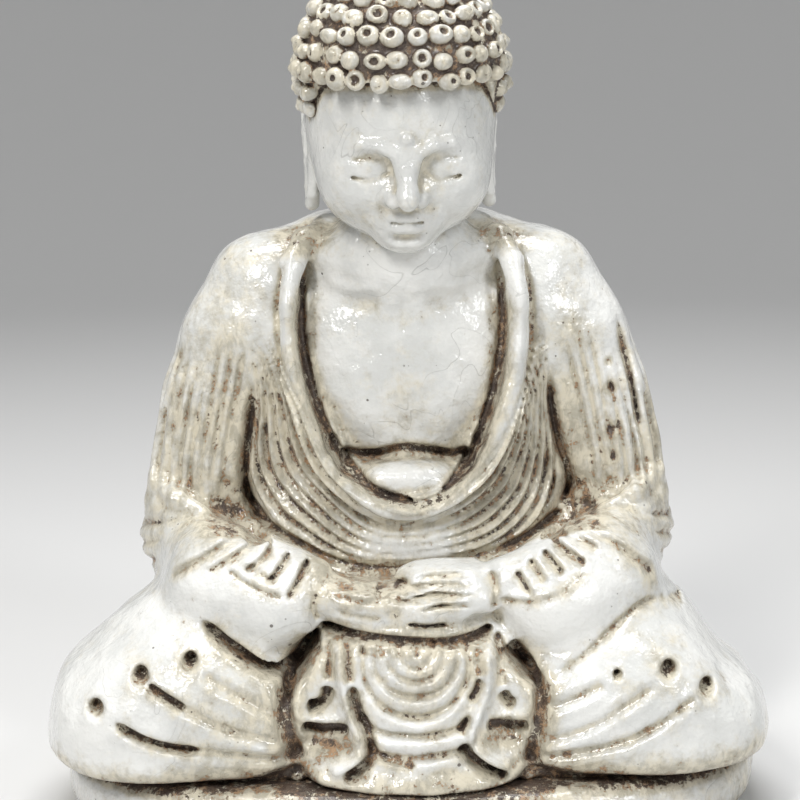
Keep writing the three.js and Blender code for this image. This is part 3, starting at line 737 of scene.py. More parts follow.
def glaze(name, wash=0.0, warm=0.0):
    """White gloss glaze with brown stain in the recesses. wash spreads the stain all over (on the curls it is
    partly painted shade), warm yellows the white.
    """
    material, tree, shader = nodes_of(name)
    g = Graph(tree)
    recess, wide = g.attribute("recess"), g.attribute("recess_wide")
    paint, rust = g.attribute("stain"), g.attribute("rust")
    broad, patch = g.noise(34, 5, 0.6), g.noise(150, 5, 0.65, offset=3.0)
    grit, dust = g.noise(520, 4, 0.7, offset=7.0), g.noise(1500, 3, 0.7, offset=8.0)
    streak = g.noise(300, 4, 0.65, distortion=0.4, stretch=(1.2, 1.0, 0.7), offset=5.0)

    # how dark, how brown and how cream each place is
    ragged = g.total(g.spread(patch, 1.3), g.spread(grit, 1.9), g.spread(dust, 1.5))
    deep = g.total(g.times(recess, 0.62), g.times(paint, 0.70), g.times(rust, 0.30), g.times(wide, 0.20))
    dark = g.total(g.times(g.math("MINIMUM", deep, 1.0), 0.80), ragged, wash)
    soiled = g.total(g.times(rust, 0.60), g.times(recess, 0.50), g.times(wide, 0.40), g.times(paint, 0.30))
    brown = g.total(g.times(g.math("MINIMUM", soiled, 1.0), 0.85), g.times(ragged, 0.85),
                    g.spread(streak, 1.2), wash)
    shade = g.math("MAXIMUM", g.total(g.times(wide, 1.0), g.times(recess, 0.5)), -0.10)
    cream = g.total(g.times(rust, 1.1), shade, g.times(paint, 0.3), g.spread(broad, 1.5),
                    g.spread(patch, 1.1), g.spread(grit, 0.8), warm)

    # from the white up to the darkest stain
    colour = g.blend(g.ramp(broad, 0.38, 0.60), THICK_WHITE, THIN_WHITE)
    colour = g.blend(g.times(g.ramp(patch, 0.46, 0.62), 0.5), colour, GLOSSY_WHITE)
    tint = g.blend(g.ramp(streak, 0.40, 0.60), CREAM, GREY_CREAM)
    colour = g.blend(g.times(g.ramp(cream, -0.06, 0.66), 0.9), colour, tint)
    sienna = g.blend(g.ramp(g.total(g.times(streak, 0.5), g.times(dust, 0.5)), 0.44, 0.56), DARK_SIENNA,
                     SIENNA)
    colour = g.blend(g.times(g.ramp(brown, 0.50, 0.71), 0.92), colour, sienna)
    umber = g.blend(g.ramp(dust, 0.42, 0.62), UMBER, WORN_UMBER)
    colour = g.blend(g.times(g.ramp(dark, 0.62, 0.76), 0.94), colour, umber)

    # pinholes, specks and fine hairlines in the glaze
    pin = g.math("LESS_THAN", g.cell_distance(230),
                 g.times(g.ramp(g.noise(60, 3, offset=2.0), 0.47, 0.70), 0.11))
    speck = g.math("LESS_THAN", g.cell_distance(560, offset=4.0),
                   g.times(g.ramp(g.noise(95, 3, offset=9.0), 0.50, 0.72), 0.14))
    marks = g.math("MAXIMUM", pin, g.times(speck, 0.65))
    crack = g.math("ABSOLUTE", g.math("SUBTRACT", g.noise(46, 2, 0.4, distortion=1.2, offset=13.0), 0.5))
    hairline = g.times(g.ramp(crack, 0.0020, 0.0004), g.ramp(g.noise(24, 3, offset=17.0), 0.53, 0.60))
    marks = g.math("MAXIMUM", marks, g.times(hairline, 0.30))
    g.feed(shader.inputs["Base Color"], g.blend(g.times(marks, 0.8), colour, PINHOLE))

    # the stain is dull, the glaze is glossy and a little uneven
    dull = g.math("MAXIMUM", g.ramp(brown, 0.45, 0.8), marks)
    roughness = g.math("ADD", 0.13, g.times(dull, 0.36))
    g.feed(shader.inputs["Roughness"], g.total(roughness, g.times(g.ramp(patch, 0.4, 0.7), 0.08)))
    shader.inputs["IOR"].default_value = 1.5
    shader.inputs["Coat Weight"].default_value = 0.3
    shader.inputs["Coat Roughness"].default_value = 0.06
    relief = g.total(g.times(g.noise(110, 4, 0.6, offset=21.0), 1.0),
                     g.times(g.noise(330, 3, 0.6, offset=23.0), 0.42), g.times(g.times(grit, dull), 0.40),
                     g.times(marks, -0.40))
    g.bump(shader, relief, 0.9, 0.0010)
    return material


GLAZE = glaze("ivory_glaze")
# the curls' wash darkens the whole hair: partly its real brown wash, partly painted shade on the hair
HAIR_GLAZE = glaze("curl_glaze", wash=0.19, warm=0.18)
PLINTH_GLAZE = glaze("plinth_glaze", wash=0.08, warm=0.3)


# ---------------------------------------------------------------- the sculpted body
FLAT_SHARE = 0.52                  # a place with no more solid around it than this isn't a recess


def recesses(field, step, *sizes):
    """The share of solid around each place, at several sizes: a half on a flat face, more in a crease."""
    solid = np.clip(0.5 - field / (1.6 * step), 0, 1).astype(np.float32)
    return [blur(solid, size, step) for size in sizes]


def keep_figures(piece, points, g, fine, wide, stain, rust, share=1.0, shade=1.0):
    """Keeps on the mesh what the glaze reads: share and shade weaken its fine and its wide recesses."""
    values = {
        "rust": rust,
        "recess": np.clip((g.sample(fine, points) - FLAT_SHARE) * 3.0, -1, 1.5) * share,
        "recess_wide": np.clip((g.sample(wide, points) - FLAT_SHARE) * 2.4, -1, 1.5) * shade,
        "stain": stain,
    }
    for name, value in values.items():
        attribute = piece.data.attributes.new(name, "FLOAT", "POINT")
        attribute.data.foreach_set("value", np.asarray(value, np.float32))


def finish_piece(piece, material, node):
    piece.data.materials.append(material)
    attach(piece, "root")
    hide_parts(node)


def sleeve_shape(g, side):
    """The forearm in its sleeve, falling over the thigh."""
    if side < 0:
        falls = ((-30, -29, 50.5), (12.5, 14, 10.5)), ((-41, -22, 52), (15, 15, 11))
    else:
        falls = ((33.5, -29, 49), (13.5, 14, 12.2)), ((43, -21, 52), (15.5, 15, 11.5))
    d = ellipsoid(g, *falls[0])
    d = soft_union(d, ellipsoid(g, *falls[1]), 8)
    d = soft_union(d, capsule(g, (side * 53, 0, 58), (side * 44, -18, 57), 10, 10), 8)
    return soft_union(d, capsule(g, (side * 42, -22, 56.5), (side * 22, -31, 55), 8, 6), 6)


def thigh_fill(g, side):
    """The full shin and thigh under the sleeve, sitting right down on the plinth."""
    out = 56.8 if side < 0 else 55.2
    top = out - 3.4 if side < 0 else out - 6.0
    d = ellipsoid(g, (side * top, -16, 27.5), (28.5, 31.5, 18.5))
    d = soft_union(d, ellipsoid(g, (side * 41, -13, 38), (26.5, 25.5, 19.5)), 8)
    d = soft_union(d, ellipsoid(g, (side * 36, -24, 24), (24, 25.5, 12.5)), 6)
    d = soft_union(d, ellipsoid(g, (side * out, -22, 18.5), (27, 29.5, 9.5)), 6)
    return soft_union(d, ellipsoid(g, (side * 37, -25, 18), (22, 23.5, 9)), 5)


def shoulder_fill(g, side):
    """The rounded shoulder and upper arm, with the sleeve pushed into rolls at the elbow."""
    d = chain(g, [(side * 35, 13, 118.5), (side * 40.5, 12, 106), (side * 45, 11, 92), (side * 48, 9, 78)],
              [12.0, 13.0, 13.2, 12.8], 3)
    for k, z in enumerate((72.5, 68, 63.6, 59.4)):
        out = 0.8 * (k % 2) + 0.5 * k
        roll = chain(g, [(side * (47 + out), -10, z - 5), (side * (54.5 + out), -7, z - 2.5),
                         (side * (59.2 + out), 3, z), (side * (58.2 + out), 15, z + 0.5),
                         (side * 51, 24, z + 1.5)], [0.8, 2.3, 2.8, 2.6, 1.6], 1.5)
        d = soft_union(d, roll, 1.3)
    return d


def lower_hand(g):
    """The hand that lies underneath, palm up: a shallow bowl with the thumb along its edge."""
    d = ellipsoid(g, (-3, -30, 50.5), (23, 12.6, 5.6))
    d = soft_union(d, ellipsoid(g, (-16, -30, 53.5), (8, 10, 4.6)), 3)
    d = soft_cut(d, ellipsoid(g, (-9, -26.5, 59.5), (9.5, 7.5, 4.2)), 1.6)
    thumb = chain(g, [(-21, -36.5, 53.2), (-13, -40, 53.6), (-6, -41.2, 53.4), (-1.5, -41.2, 52.6)],
                  [2.6, 2.3, 2.0, 1.5])
    d = soft_union(d, thumb, 1.2)
    for k in range(3):
        d = soft_union(d, chain(g, [(-8, -40 + 0.8 * k, 50.2 - 2.1 * k), (4, -41.8 + 0.9 * k, 49.6 - 2.0 * k),
                                    (13 - 2 * k, -40.6 + 1.2 * k, 50 - 1.9 * k)], [1.3, 1.5, 1.35]), 0.7)
    return d


def upper_hand(g):
    """The other hand laid across it, its fingers side by side."""
    d = ellipsoid(g, (13.5, -31, 53.2), (9.5, 10, 4.8))
    d = soft_union(d, ellipsoid(g, (8.5, -29.5, 56.2), (12, 8.4, 3.9)), 2)
    tips = (-6.5, -10.5, -8.0, -1.0)
    for k in range(4):
        y, z = -38.4 + 3.3 * k, 53.0 + 1.35 * k
        finger = chain(g, [(13, y, z), (4, y - 0.6, z + 0.5), (tips[k], y - 0.2, z - 0.6)], [1.75, 1.7, 1.35])
        d = soft_union(d, finger, 0.6)
    thumb = chain(g, [(18, -37.5, 51.8), (10, -41.2, 52.2), (2.4, -41.6, 51.6)], [2.4, 1.9, 1.5])
    return soft_union(d, thumb, 1.0)


def collar_back(g):
    """The robe's edge carried over the shoulders and round the nape."""
    return chain(g, [(-26.8, -9, 116), (-25.8, -4.5, 125), (-23, 1.5, 130.6), (-18.5, 9, 132.6),
                     (-11, 16, 133.2), (0, 19.5, 133), (11, 16, 133.2), (18.5, 9, 132.6), (23, 1.5, 130.6),
                     (25.8, -4.5, 125), (26.8, -9, 116)],
                 [2.6, 2.8, 2.8, 2.7, 2.6, 2.6, 2.6, 2.7, 2.8, 2.8, 2.6], 2)


def neck_base(g):
    """The slope from the collarbones up to the throat."""
    d = ellipsoid(g, (0, 5, 127), (24, 13, 7.5))
    return soft_union(d, capsule(g, (0, 5, 126), (0, 3, 137), 16, 12.5), 6)


def apron_fill(g):
    """The hanging robe between the knees, with its rolled hem."""
    d = ellipsoid(g, (0, -29, 40), (27, 17.5, 11.5))
    d = soft_union(d, ellipsoid(g, (0, -30, 21), (27, 20.5, 9)), 4)
    hem = chain(g, [(-25, -43, 16.4), (-18, -47.6, 15), (-8, -50.6, 14.6), (3, -51.4, 14.4), (14, -50, 14.6),
                    (22, -46.8, 15.2), (27.5, -42.5, 16.6)], [2.2, 2.6, 2.7, 2.7, 2.7, 2.6, 2.2])
    return soft_union(d, hem, 2.5)


# what each CAD solid gains before it is joined to the rest, and the fillet of that join
ADDED = {
    "robe_collar": (collar_back, 3.0),
    "chest": (neck_base, 4.0),
    "leg_left": (lambda g: thigh_fill(g, 1), 6),
    "leg_right": (lambda g: thigh_fill(g, -1), 6),
    "arm_left": (lambda g: shoulder_fill(g, 1), 3),
    "arm_right": (lambda g: shoulder_fill(g, -1), 3),
    "apron": (apron_fill, 5),
}
# pieces shaped here inside their CAD solid's box
SHAPES = {
    "sleeve_right": lambda g: sleeve_shape(g, -1),
    "sleeve_left": lambda g: sleeve_shape(g, 1),
    "hand_right": lower_hand,
    "hand_left": upper_hand,
}
# how far the other CAD solids are softened
SOFTNESS = {
    "robe_body": 3.2, "arm_left": 3.2, "arm_right": 3.2, "leg_left": 2.2, "leg_right": 2.2, "apron": 1.5,
    "lap": 1.5, "robe_collar": 0.9, "chest": 1.2, "under_sash": 0.9,
}
# in the order they are joined, the fillet of each piece with those before it
FILLETS = {"robe_body": 0, "arm_left": 9, "arm_right": 9, "leg_left": 3, "leg_right": 3, "lap": 2,
           "sleeve_left": 3.5, "sleeve_right": 3.5, "apron": 1.5, "robe_collar": 2.2, "chest": 1.2,
           "under_sash": 0.8, "hand_right": 0.7, "hand_left": 0.5,}
# pieces whose white is toned less by the recesses around them
LESS_TONED = {"hand_left": 0.35, "hand_right": 0.35, "apron": 0.5, "lap": 0.7}
COLLAR_TOP = 119                   # the collar's CAD solid is used up to here, collar_back() above
BODY_FOOT = 12.6                   # the cast body ends here, on the plinth
GROOVE_SHARE, GROOVE_SLOPE, GROOVE_REACH = 0.67, 9.0, 3.4


def body_parts(g):
    """Signed distances of each piece of the body, before the relief is cut."""
    parts = {}
    for node, softness in SOFTNESS.items():
        low, high = node_mm(node)
        cut, sub = g.part(low - 11, high + 11)
        field = blur(cad_distance(node, sub, FAR), softness, g.step)
        if node == "robe_collar":
            field = np.maximum(field, sub.z - COLLAR_TOP)
        if node in ADDED:
            make, k = ADDED[node]
            field = soft_union(field, make(sub).astype(np.float32), k)
        if node == "leg_left":
            # this knee is flatter on its outside
            field += 2.8 * np.exp(-((sub.x - 77) / 12) ** 2 - ((sub.z - 38) / 11) ** 2)
        parts[node] = (cut, field)
    for node, make in SHAPES.items():
        low, high = node_mm(node)
        cut, sub = g.part(low - 9, high + 9)
        parts[node] = (cut, np.minimum(make(sub), FAR).astype(np.float32))
    return parts


def weights(x, y, z):
    """How much of each relief a place takes: the front's, the near part of the front, and the sides'."""
    is_front = 1 - smooth_step(8, 20, y)
    is_near = np.maximum(1 - smooth_step(-29, -25, y), 1 - smooth_step(47.5, 50.5, z))
    outer = smooth_step(46, 55, np.abs(x)) * smooth_step(-24, -10, y)
    return is_front, is_near, outer * (1 - smooth_step(30, 40, y) * 0.5)


class Reliefs:
    """The reliefs of the front, its near part, the back and both sides, on one grid."""

    def __init__(self, g):
        self.front, self.near, self.back = torso_relief(g), near_relief(g), back_relief(g)
        self.sides = {side: side_relief(g, side) for side in (-1, 1)}

    def cut(self, g, field):
        """The field with every relief taken out of it or added to it."""
        is_front, is_near, outer = weights(g.x, g.y, g.z)
        field = field - is_front * (1 - is_near) * self.front.height[:, None, :]
        field -= is_front * is_near * self.near.height[:, None, :]
        field -= smooth_step(14, 24, g.y) * (1 - outer) * self.back.height[:, None, :]
        for side, relief in self.sides.items():
            field -= outer * (g.x * side > 0) * relief.height[None, :, :]
        return field

    def painted(self, points, kind):
        """The stain or rust at scattered points. The rust on the upper arms is partly their yellow stain and
        partly painted shade on their steep sides.
        """
        x, y, z = points.T
        is_front, is_near, outer = weights(x, y, z)
        paint = is_front * (1 - is_near) * self.front.read(getattr(self.front, kind), x, z)
        paint = np.maximum(paint, is_front * is_near * self.near.read(getattr(self.near, kind), x, z))
        back = self.back.read(getattr(self.back, kind), x, z)
        paint = np.maximum(paint, smooth_step(14, 24, y) * (1 - outer) * back)
        for side, relief in self.sides.items():
            paint = np.maximum(paint, outer * (x * side > 0) * relief.read(getattr(relief, kind), y, z))
        if kind == "rust":
            # upper arms: a broad rust tone, partly their real yellow stain and partly painted shade on their
            # steep, less lit sides
            arm_tint_and_shade = smooth_step(32, 38, np.abs(x)) * smooth_step(116, 94, z) * smooth_step(54, 68, z)
            apron = smooth_step(30, 26, np.abs(x)) * smooth_step(47, 44, z) * smooth_step(-30, -34, y)
            paint = np.maximum(paint, 0.42 * arm_tint_and_shade)
            paint = np.maximum(paint, 0.12 * apron)
        # stain caught where the robe meets the neck
        strength, out, top = (1.2, (24, 60), (132, 30)) if kind == "rust" else (0.75, (24.5, 18), (130.5, 12))
        middle = (2, 130) if kind == "rust" else (1, 60)
        for side in (-1, 1):
            nape = ((x - side * out[0]) ** 2 / out[1] + (y - middle[0]) ** 2 / middle[1]
                    + (z - top[0]) ** 2 / top[1])
            paint = np.maximum(paint, strength * np.exp(-nape))
        return paint


def fill_chest_gap(g, field):
    """Leaves the gap between the chest, the sash and the robe edge as only a shallow groove."""
    cut, sub = g.part(np.array([-31.0, -52.0, 66.0]), np.array([31.0, 6.0, 124.0]))
    closed, = recesses(field[cut], g.step, GROOVE_REACH)
    outside = 40 * smooth_step(70, 66, sub.z) + 40 * smooth_step(27, 31, np.abs(sub.x))
    field[cut] = np.minimum(field[cut], (GROOVE_SHARE - closed) * GROOVE_SLOPE + outside)


def around_figure(g, field):
    """The body's field with its neighbours, which deepen the stain where they meet it."""
    around = field.copy()
    for node in ("base_plinth", "head", "hair_cap"):
        low, high = node_mm(node)
        cut, sub = g.part(low - 6, high + 6)
        if min(sub.shape) > 2:
            around[cut] = np.minimum(around[cut], cad_distance(node, sub, 5.0))
    return around


def distance_to_others(node, parts):
    """The distance to the nearest other piece, over a piece's own part of the grid."""
    cut, own = parts[node]
    others = np.full(own.shape, FAR, np.float32)
    for other, (other_cut, other_field) in parts.items():
        if other == node:
            continue
        meet = [(max(a.start, b.start), min(a.stop, b.stop)) for a, b in zip(cut, other_cut)]
        if all(a < b for a, b in meet):
            here = tuple(slice(a - c.start, b - c.start) for (a, b), c in zip(meet, cut))
            there = tuple(slice(a - c.start, b - c.start) for (a, b), c in zip(meet, other_cut))
            others[here] = np.minimum(others[here], other_field[there])
    return others


def close_edges(shape):
    """Keeps a shape off the edges of its grid, so that its mesh is closed."""
    for axis in range(3):
        edge = [slice(None)] * 3
        for end in (0, -1):
            edge[axis] = end
            shape[tuple(edge)] = np.maximum(shape[tuple(edge)], 0.5)


def sculpt_body():
    """One joined and carved field for the body, meshed as a piece for each casting."""
    low, high = np.array(cad_low) * MM - 5, np.array(cad_high) * MM + 5
    high[2] = node_mm("robe_body")[1][2] + 6
    g = grid_over(low, high, BODY_STEP)
    parts = body_parts(g)
    field = np.full(g.shape, FAR, np.float32)
    for node, k in FILLETS.items():
        cut, d = parts[node]
        field[cut] = soft_union(field[cut], d, k) if k else np.minimum(field[cut], d)
    fill_chest_gap(g, field)
    field = blur(field, 0.55, g.step)
    reliefs = Reliefs(g)
    field = reliefs.cut(g, field)
    field += 0.16 * lumps(g, 8.0) * smooth_step(14, 17, g.z) + 0.10 * lumps(g, 3.6)
    field = np.maximum(field, BODY_FOOT - g.z)
    fine, wide = recesses(around_figure(g, field), g.step, 1.3, 4.2)

    for node in FILLETS:
        cut, own = parts[node]
        # past its border with the others a piece dips under them, and it ends inside the figure
        past = np.maximum((own - distance_to_others(node, parts)) / 2, 0)
        shape = np.maximum(field[cut] + 0.10 * past ** 2, own - 6.0)
        close_edges(shape)
        own_grid = Grid(g.first + [c.start for c in cut], own.shape, g.step)
        piece, points = skin(f"{node}_cast", own_grid, shape)
        keep_figures(piece, points, g, fine, wide, reliefs.painted(points, "stain"),
                     reliefs.painted(points, "rust"), shade=LESS_TONED.get(node, 1.0))
        finish_piece(piece, GLAZE, node)


# ---------------------------------------------------------------- the head, in its own upright frame
HEAD_PIVOT = np.array((0.4, 3.0, 150.0))
PITCH, YAW = math.radians(9), math.radians(3)
BROW, EYES, NOSE_BASE, MOUTH, CHIN = 155.6, 151.4, 143.6, 139.6, 131.5
NECK_FOOT = 123.0                # the head casting ends here, in the collar
EYE_OUT = 8.9                    # one eye's width apart, five eyes across the face


def head_to_frame(points):
    """From the upright head frame to the figure's: bowed forward and turned a little."""
    cp, sp, cy, sy = math.cos(PITCH), math.sin(PITCH), math.cos(YAW), math.sin(YAW)
    turn = np.array(((cy, -sy * cp, sy * sp), (sy, cy * cp, -cy * sp), (0, sp, cp)))
    return (points - HEAD_PIVOT) @ turn.T + HEAD_PIVOT


def pair(g, make, k, field, cut=False):
    """The same shape on both sides, joined to or taken from the field."""
    for side in (-1, 1):
        shape = make(side)
        field = soft_cut(field, shape, k) if cut else soft_union(field, shape, k)
    return field


def face_shape(g):
    """A calm, regular face: thirds from hairline to brow to nose to chin, eyes lowered."""
    f = ellipsoid(g, (0, 2.5, 160), (22.3, 22.8, 23))
    f = soft_union(f, ellipsoid(g, (0, -2.5, 146.5), (17.8, 17.2, 15.2)), 9)
    f = pair(g, lambda s: ellipsoid(g, (s * 9.6, -10.8, 147.6), (8.6, 8.2, 8.6)), 7, f)
    f = soft_union(f, ellipsoid(g, (0, -15.2, CHIN + 4.0), (6.2, 5.4, 4.2)), 6)
    # brow and sockets
    f = pair(g, lambda s: ellipsoid(g, (s * EYE_OUT, -24.4, EYES + 0.6), (7.4, 5.6, 3.3)), 4.0, f, cut=True)
    bridge = lambda s: chain(g, [(s * 1.5, -21.2, 152.6), (s * 2.9, -21.2, 155.4), (s * 6.4, -20.4, 157.2),
                                 (s * 10.6, -18.4, 157.3), (s * 14.6, -15.0, 155.6)],
                             [0.8, 0.9, 0.95, 0.9, 0.6])
    f = pair(g, bridge, 1.8, f)
    # lowered lids
    f = pair(g, lambda s: ellipsoid(g, (s * EYE_OUT, -15.9, EYES), (5.7, 4.1, 3.7)), 1.2, f)
    slit = lambda s: chain(g, [(s * 3.9, -19.2, EYES - 0.6), (s * 6.2, -20.2, EYES - 1.75),
                               (s * EYE_OUT, -20.1, EYES - 2.1), (s * 11.9, -18.6, EYES - 1.6),
                               (s * 14.4, -16.2, EYES - 0.5)], [0.2, 0.34, 0.38, 0.34, 0.2])
    f = pair(g, slit, 0.7, f, cut=True)
    crease = lambda s: chain(g, [(s * 4.4, -19.6, EYES + 1.6), (s * 8.2, -19.9, EYES + 3.0),
                                 (s * 12.6, -17.6, EYES + 2.3)], [0.12, 0.22, 0.12])
    f = pair(g, crease, 0.9, f, cut=True)
    # nose
    nose = chain(g, [(0, -19.6, 156.2), (0, -21.7, 151.4), (0, -23.9, 147.4), (0, -25.2, 145.6)],
                 [1.7, 1.55, 1.9, 2.35], 2.5)
    nose = pair(g, lambda s: ellipsoid(g, (s * 3.1, -22.2, NOSE_BASE + 1.3), (1.75, 2.4, 1.65)), 1.5, nose)
    f = soft_union(f, nose, 2.6)
    f = pair(g, lambda s: ellipsoid(g, (s * 1.55, -23.9, NOSE_BASE - 0.35), (0.75, 1.3, 0.7)), 0.7, f,
             cut=True)
    f = soft_cut(f, capsule(g, (0, -21.9, NOSE_BASE - 1.4), (0, -21.5, MOUTH + 1.9), 0.5, 0.6), 1.2)
    # mouth
    f = soft_union(f, ellipsoid(g, (0, -16.6, MOUTH), (7.2, 4.4, 3.6)), 3)
    upper = lambda s: chain(g, [(0, -20.7, MOUTH + 0.85), (s * 1.7, -20.8, MOUTH + 1.15),
                                (s * 4.2, -19.2, MOUTH + 0.65), (s * 6.2, -17.3, MOUTH + 0.25)],
                            [0.75, 0.85, 0.7, 0.35])
    f = pair(g, upper, 0.9, f)
    f = soft_union(f, chain(g, [(-4.9, -18.4, MOUTH - 0.7), (-2.2, -20.1, MOUTH - 1.45),
                                (2.2, -20.1, MOUTH - 1.45), (4.9, -18.4, MOUTH - 0.7)],
                            [0.6, 1.05, 1.05, 0.6]), 1.1)
    parting = lambda s: chain(g, [(0, -21.4, MOUTH - 0.15), (s * 3.2, -20.7, MOUTH - 0.1),
                                  (s * 6.7, -17.9, MOUTH + 0.35)], [0.24, 0.26, 0.3])
    f = pair(g, parting, 0.5, f, cut=True)
    f = soft_cut(f, capsule(g, (-2.6, -19.9, MOUTH - 3.7), (2.6, -19.9, MOUTH - 3.7), 0.55, 0.55), 2.2)
    # the mark between the brows
    f = soft_union(f, ellipsoid(g, (0, -20.6, BROW + 3.0), (1.7, 1.5, 1.7)), 0.5)
    return f


def ear_shape(g, s):
    """A long-lobed ear: rim, inner fold and hollow."""
    x = 20.4
    plate = ellipsoid(g, (s * x, 5.2, 151), (1.9, 4.6, 13.0))
    rim = chain(g, [(s * (x - 1), 1.8, 156), (s * x, 2.0, 161.5), (s * (x + 0.9), 5.6, 164.2),
                    (s * (x + 1.5), 9.2, 161.2), (s * (x + 1.5), 9.6, 154.5), (s * (x + 1.2), 7.8, 148),
                    (s * (x + 0.9), 6.9, 142), (s * (x + 0.7), 5.0, 138.4), (s * (x + 0.7), 3.4, 141),
                    (s * (x + 0.3), 2.8, 147)], [0.9, 1.15, 1.3, 1.35, 1.3, 1.2, 1.5, 1.6, 1.2, 0.8])
    ear = soft_union(plate, rim, 0.9)
    fold = chain(g, [(s * (x + 1.6), 4.2, 159.5), (s * (x + 1.9), 6.4, 157), (s * (x + 1.7), 6.2, 151),
                     (s * (x + 1.4), 4.4, 148.4)], [0.5, 0.75, 0.75, 0.5])
    ear = soft_union(ear, fold, 0.7)
    ear = soft_cut(ear, ellipsoid(g, (s * (x + 2.4), 3.9, 153.4), (1.7, 1.7, 3.4)), 0.8)
    return soft_cut(ear, capsule(g, (s * (x + 2.5), 4.9, 146), (s * (x + 2.5), 5.0, 141), 0.9, 0.9), 0.8)


CAP_CENTRE, CAP_RADII = (0, 2.6, 171.5), (23.9, 24.6, 22.6)
MOUND_CENTRE, MOUND_RADII = (0, 5.2, 193.0), (14.6, 15.2, 12.2)


def curl_places(centre, radii, lowest, highest, across, up):
    """Staggered rows of places round an ellipsoid, from a lowest to a highest height."""
    places, row = [], 0
    angle = math.asin((lowest - centre[2]) / radii[2])
    while angle < math.asin(min(1, (highest - centre[2]) / radii[2])):
        rx, ry = radii[0] * math.cos(angle), radii[1] * math.cos(angle)
        count = max(3, round(math.pi * (rx + ry) / across))
        for i in range(count):
            turn = 2 * math.pi * (i + 0.5 * (row % 2) + rng.uniform(-0.13, 0.13)) / count + 0.1 * row
            tilt = angle + rng.uniform(-0.026, 0.026)
            spot = np.array((radii[0] * math.cos(tilt) * math.sin(turn),
                             -radii[1] * math.cos(tilt) * math.cos(turn), radii[2] * math.sin(tilt)))
            out = spot / np.square(radii)
            places.append((spot + centre, out / np.linalg.norm(out)))
        angle += up / math.hypot(radii[2] * math.cos(angle), radii[1] * math.sin(angle))
        row += 1
    return places


def hairline_at(x, y):
    """Height of the hair's lower edge round the head."""
    turn = np.degrees(np.arctan2(np.abs(x), -(y - CAP_CENTRE[1])))
    return np.interp(turn, (0, 40, 58, 72, 95, 118, 145, 180),
                     (171.0, 170.8, 168.8, 161.6, 163.5, 158, 150.8, 149.6))


def add_curl(g, hair, spot, out, wide, tall, proud):
    """One snail curl: a round knob with a turned groove, most with a pit at the tip."""
    spot = spot + rng.uniform(-0.5, 0.5, 3)
    wide, tall, proud = np.array((wide, tall, proud)) * rng.uniform((0.84, 0.82, 0.85), (1.10, 1.10, 1.15))
    cut, sub = g.part(spot - 4.6, spot + 4.6)
    if min(hair[cut].shape) < 3:
        return
    along = np.cross((0, 0, 1), out)
    along = along / max(np.linalg.norm(along), 1e-6)
    over = np.cross(out, along)
    px, py, pz = sub.x - spot[0], sub.y - spot[1], sub.z - spot[2]
    u, v, w = (px * axis[0] + py * axis[1] + pz * axis[2] for axis in (along, over, out))
    k0 = np.sqrt((u / wide) ** 2 + (v / tall) ** 2 + (w / proud) ** 2)
    k1 = np.sqrt((u / wide ** 2) ** 2 + (v / tall ** 2) ** 2 + (w / proud ** 2) ** 2)
    knob = k0 * (k0 - 1) / np.maximum(k1, 1e-6)
    lean_u, lean_v = rng.uniform(-0.5, 0.5), rng.uniform(-0.35, 0.5)
    away = np.sqrt((u - lean_u) ** 2 + (v - lean_v) ** 2)
    kind = rng.uniform()
    if kind < 0.55:
        pit = np.sqrt(away ** 2 + ((w - proud) * 0.75) ** 2) - rng.uniform(0.95, 1.55)
        knob = soft_cut(knob, pit, 0.4)
    elif kind < 0.85:
        ring = np.hypot(away - 1.15, (w - proud * 0.86)) - 0.28
        knob = soft_cut(knob, ring, 0.45)
    hair[cut] = soft_union(hair[cut], knob, 0.6)


def hair_shape(g):
    cap = ellipsoid(g, CAP_CENTRE, np.array(CAP_RADII) - 0.4)
    mound = ellipsoid(g, MOUND_CENTRE, np.array(MOUND_RADII) - 0.4)
    nape = ellipsoid(g, (0, 6.5, 162), (20.8, 19.6, 14))
    cap = soft_union(cap, nape, 6)
    edge = hairline_at(g.x, g.y)
    cap = np.maximum(cap, edge + 0.6 - g.z)
    cap, mound = cap.astype(np.float32), mound.astype(np.float32)
    whole = soft_union(cap, mound, 2.5)
    body = np.array(MOUND_CENTRE)
    for spot, out in curl_places(CAP_CENTRE, CAP_RADII, 152.5, 193.9, 5.3, 4.75):
        inside_mound = np.linalg.norm((spot - body) / np.array(MOUND_RADII)) < 1.0
        low_edge = float(hairline_at(spot[0], spot[1]))
        if inside_mound or spot[2] < low_edge - 0.5:
            continue
        if spot[2] < 164 and out[1] > 0.1:
            reach = math.hypot(spot[0] / 20.8, (spot[1] - 6.5) / 19.6)
            spot = np.array((spot[0] / reach, (spot[1] - 6.5) / reach + 6.5, spot[2])) if reach < 1 else spot
        add_curl(g, whole, spot, out, rng.uniform(2.3, 2.9), rng.uniform(2.0, 2.5),
                 rng.uniform(1.9, 2.5))
    for spot, out in curl_places(MOUND_CENTRE, MOUND_RADII, 189.5, 205.3, 5.0, 4.5):
        if np.linalg.norm((spot - CAP_CENTRE) / np.array(CAP_RADII)) > 1.0:
            add_curl(g, whole, spot, out, rng.uniform(2.3, 2.6), rng.uniform(2.05, 2.35),
                     rng.uniform(1.8, 2.2))
    return whole


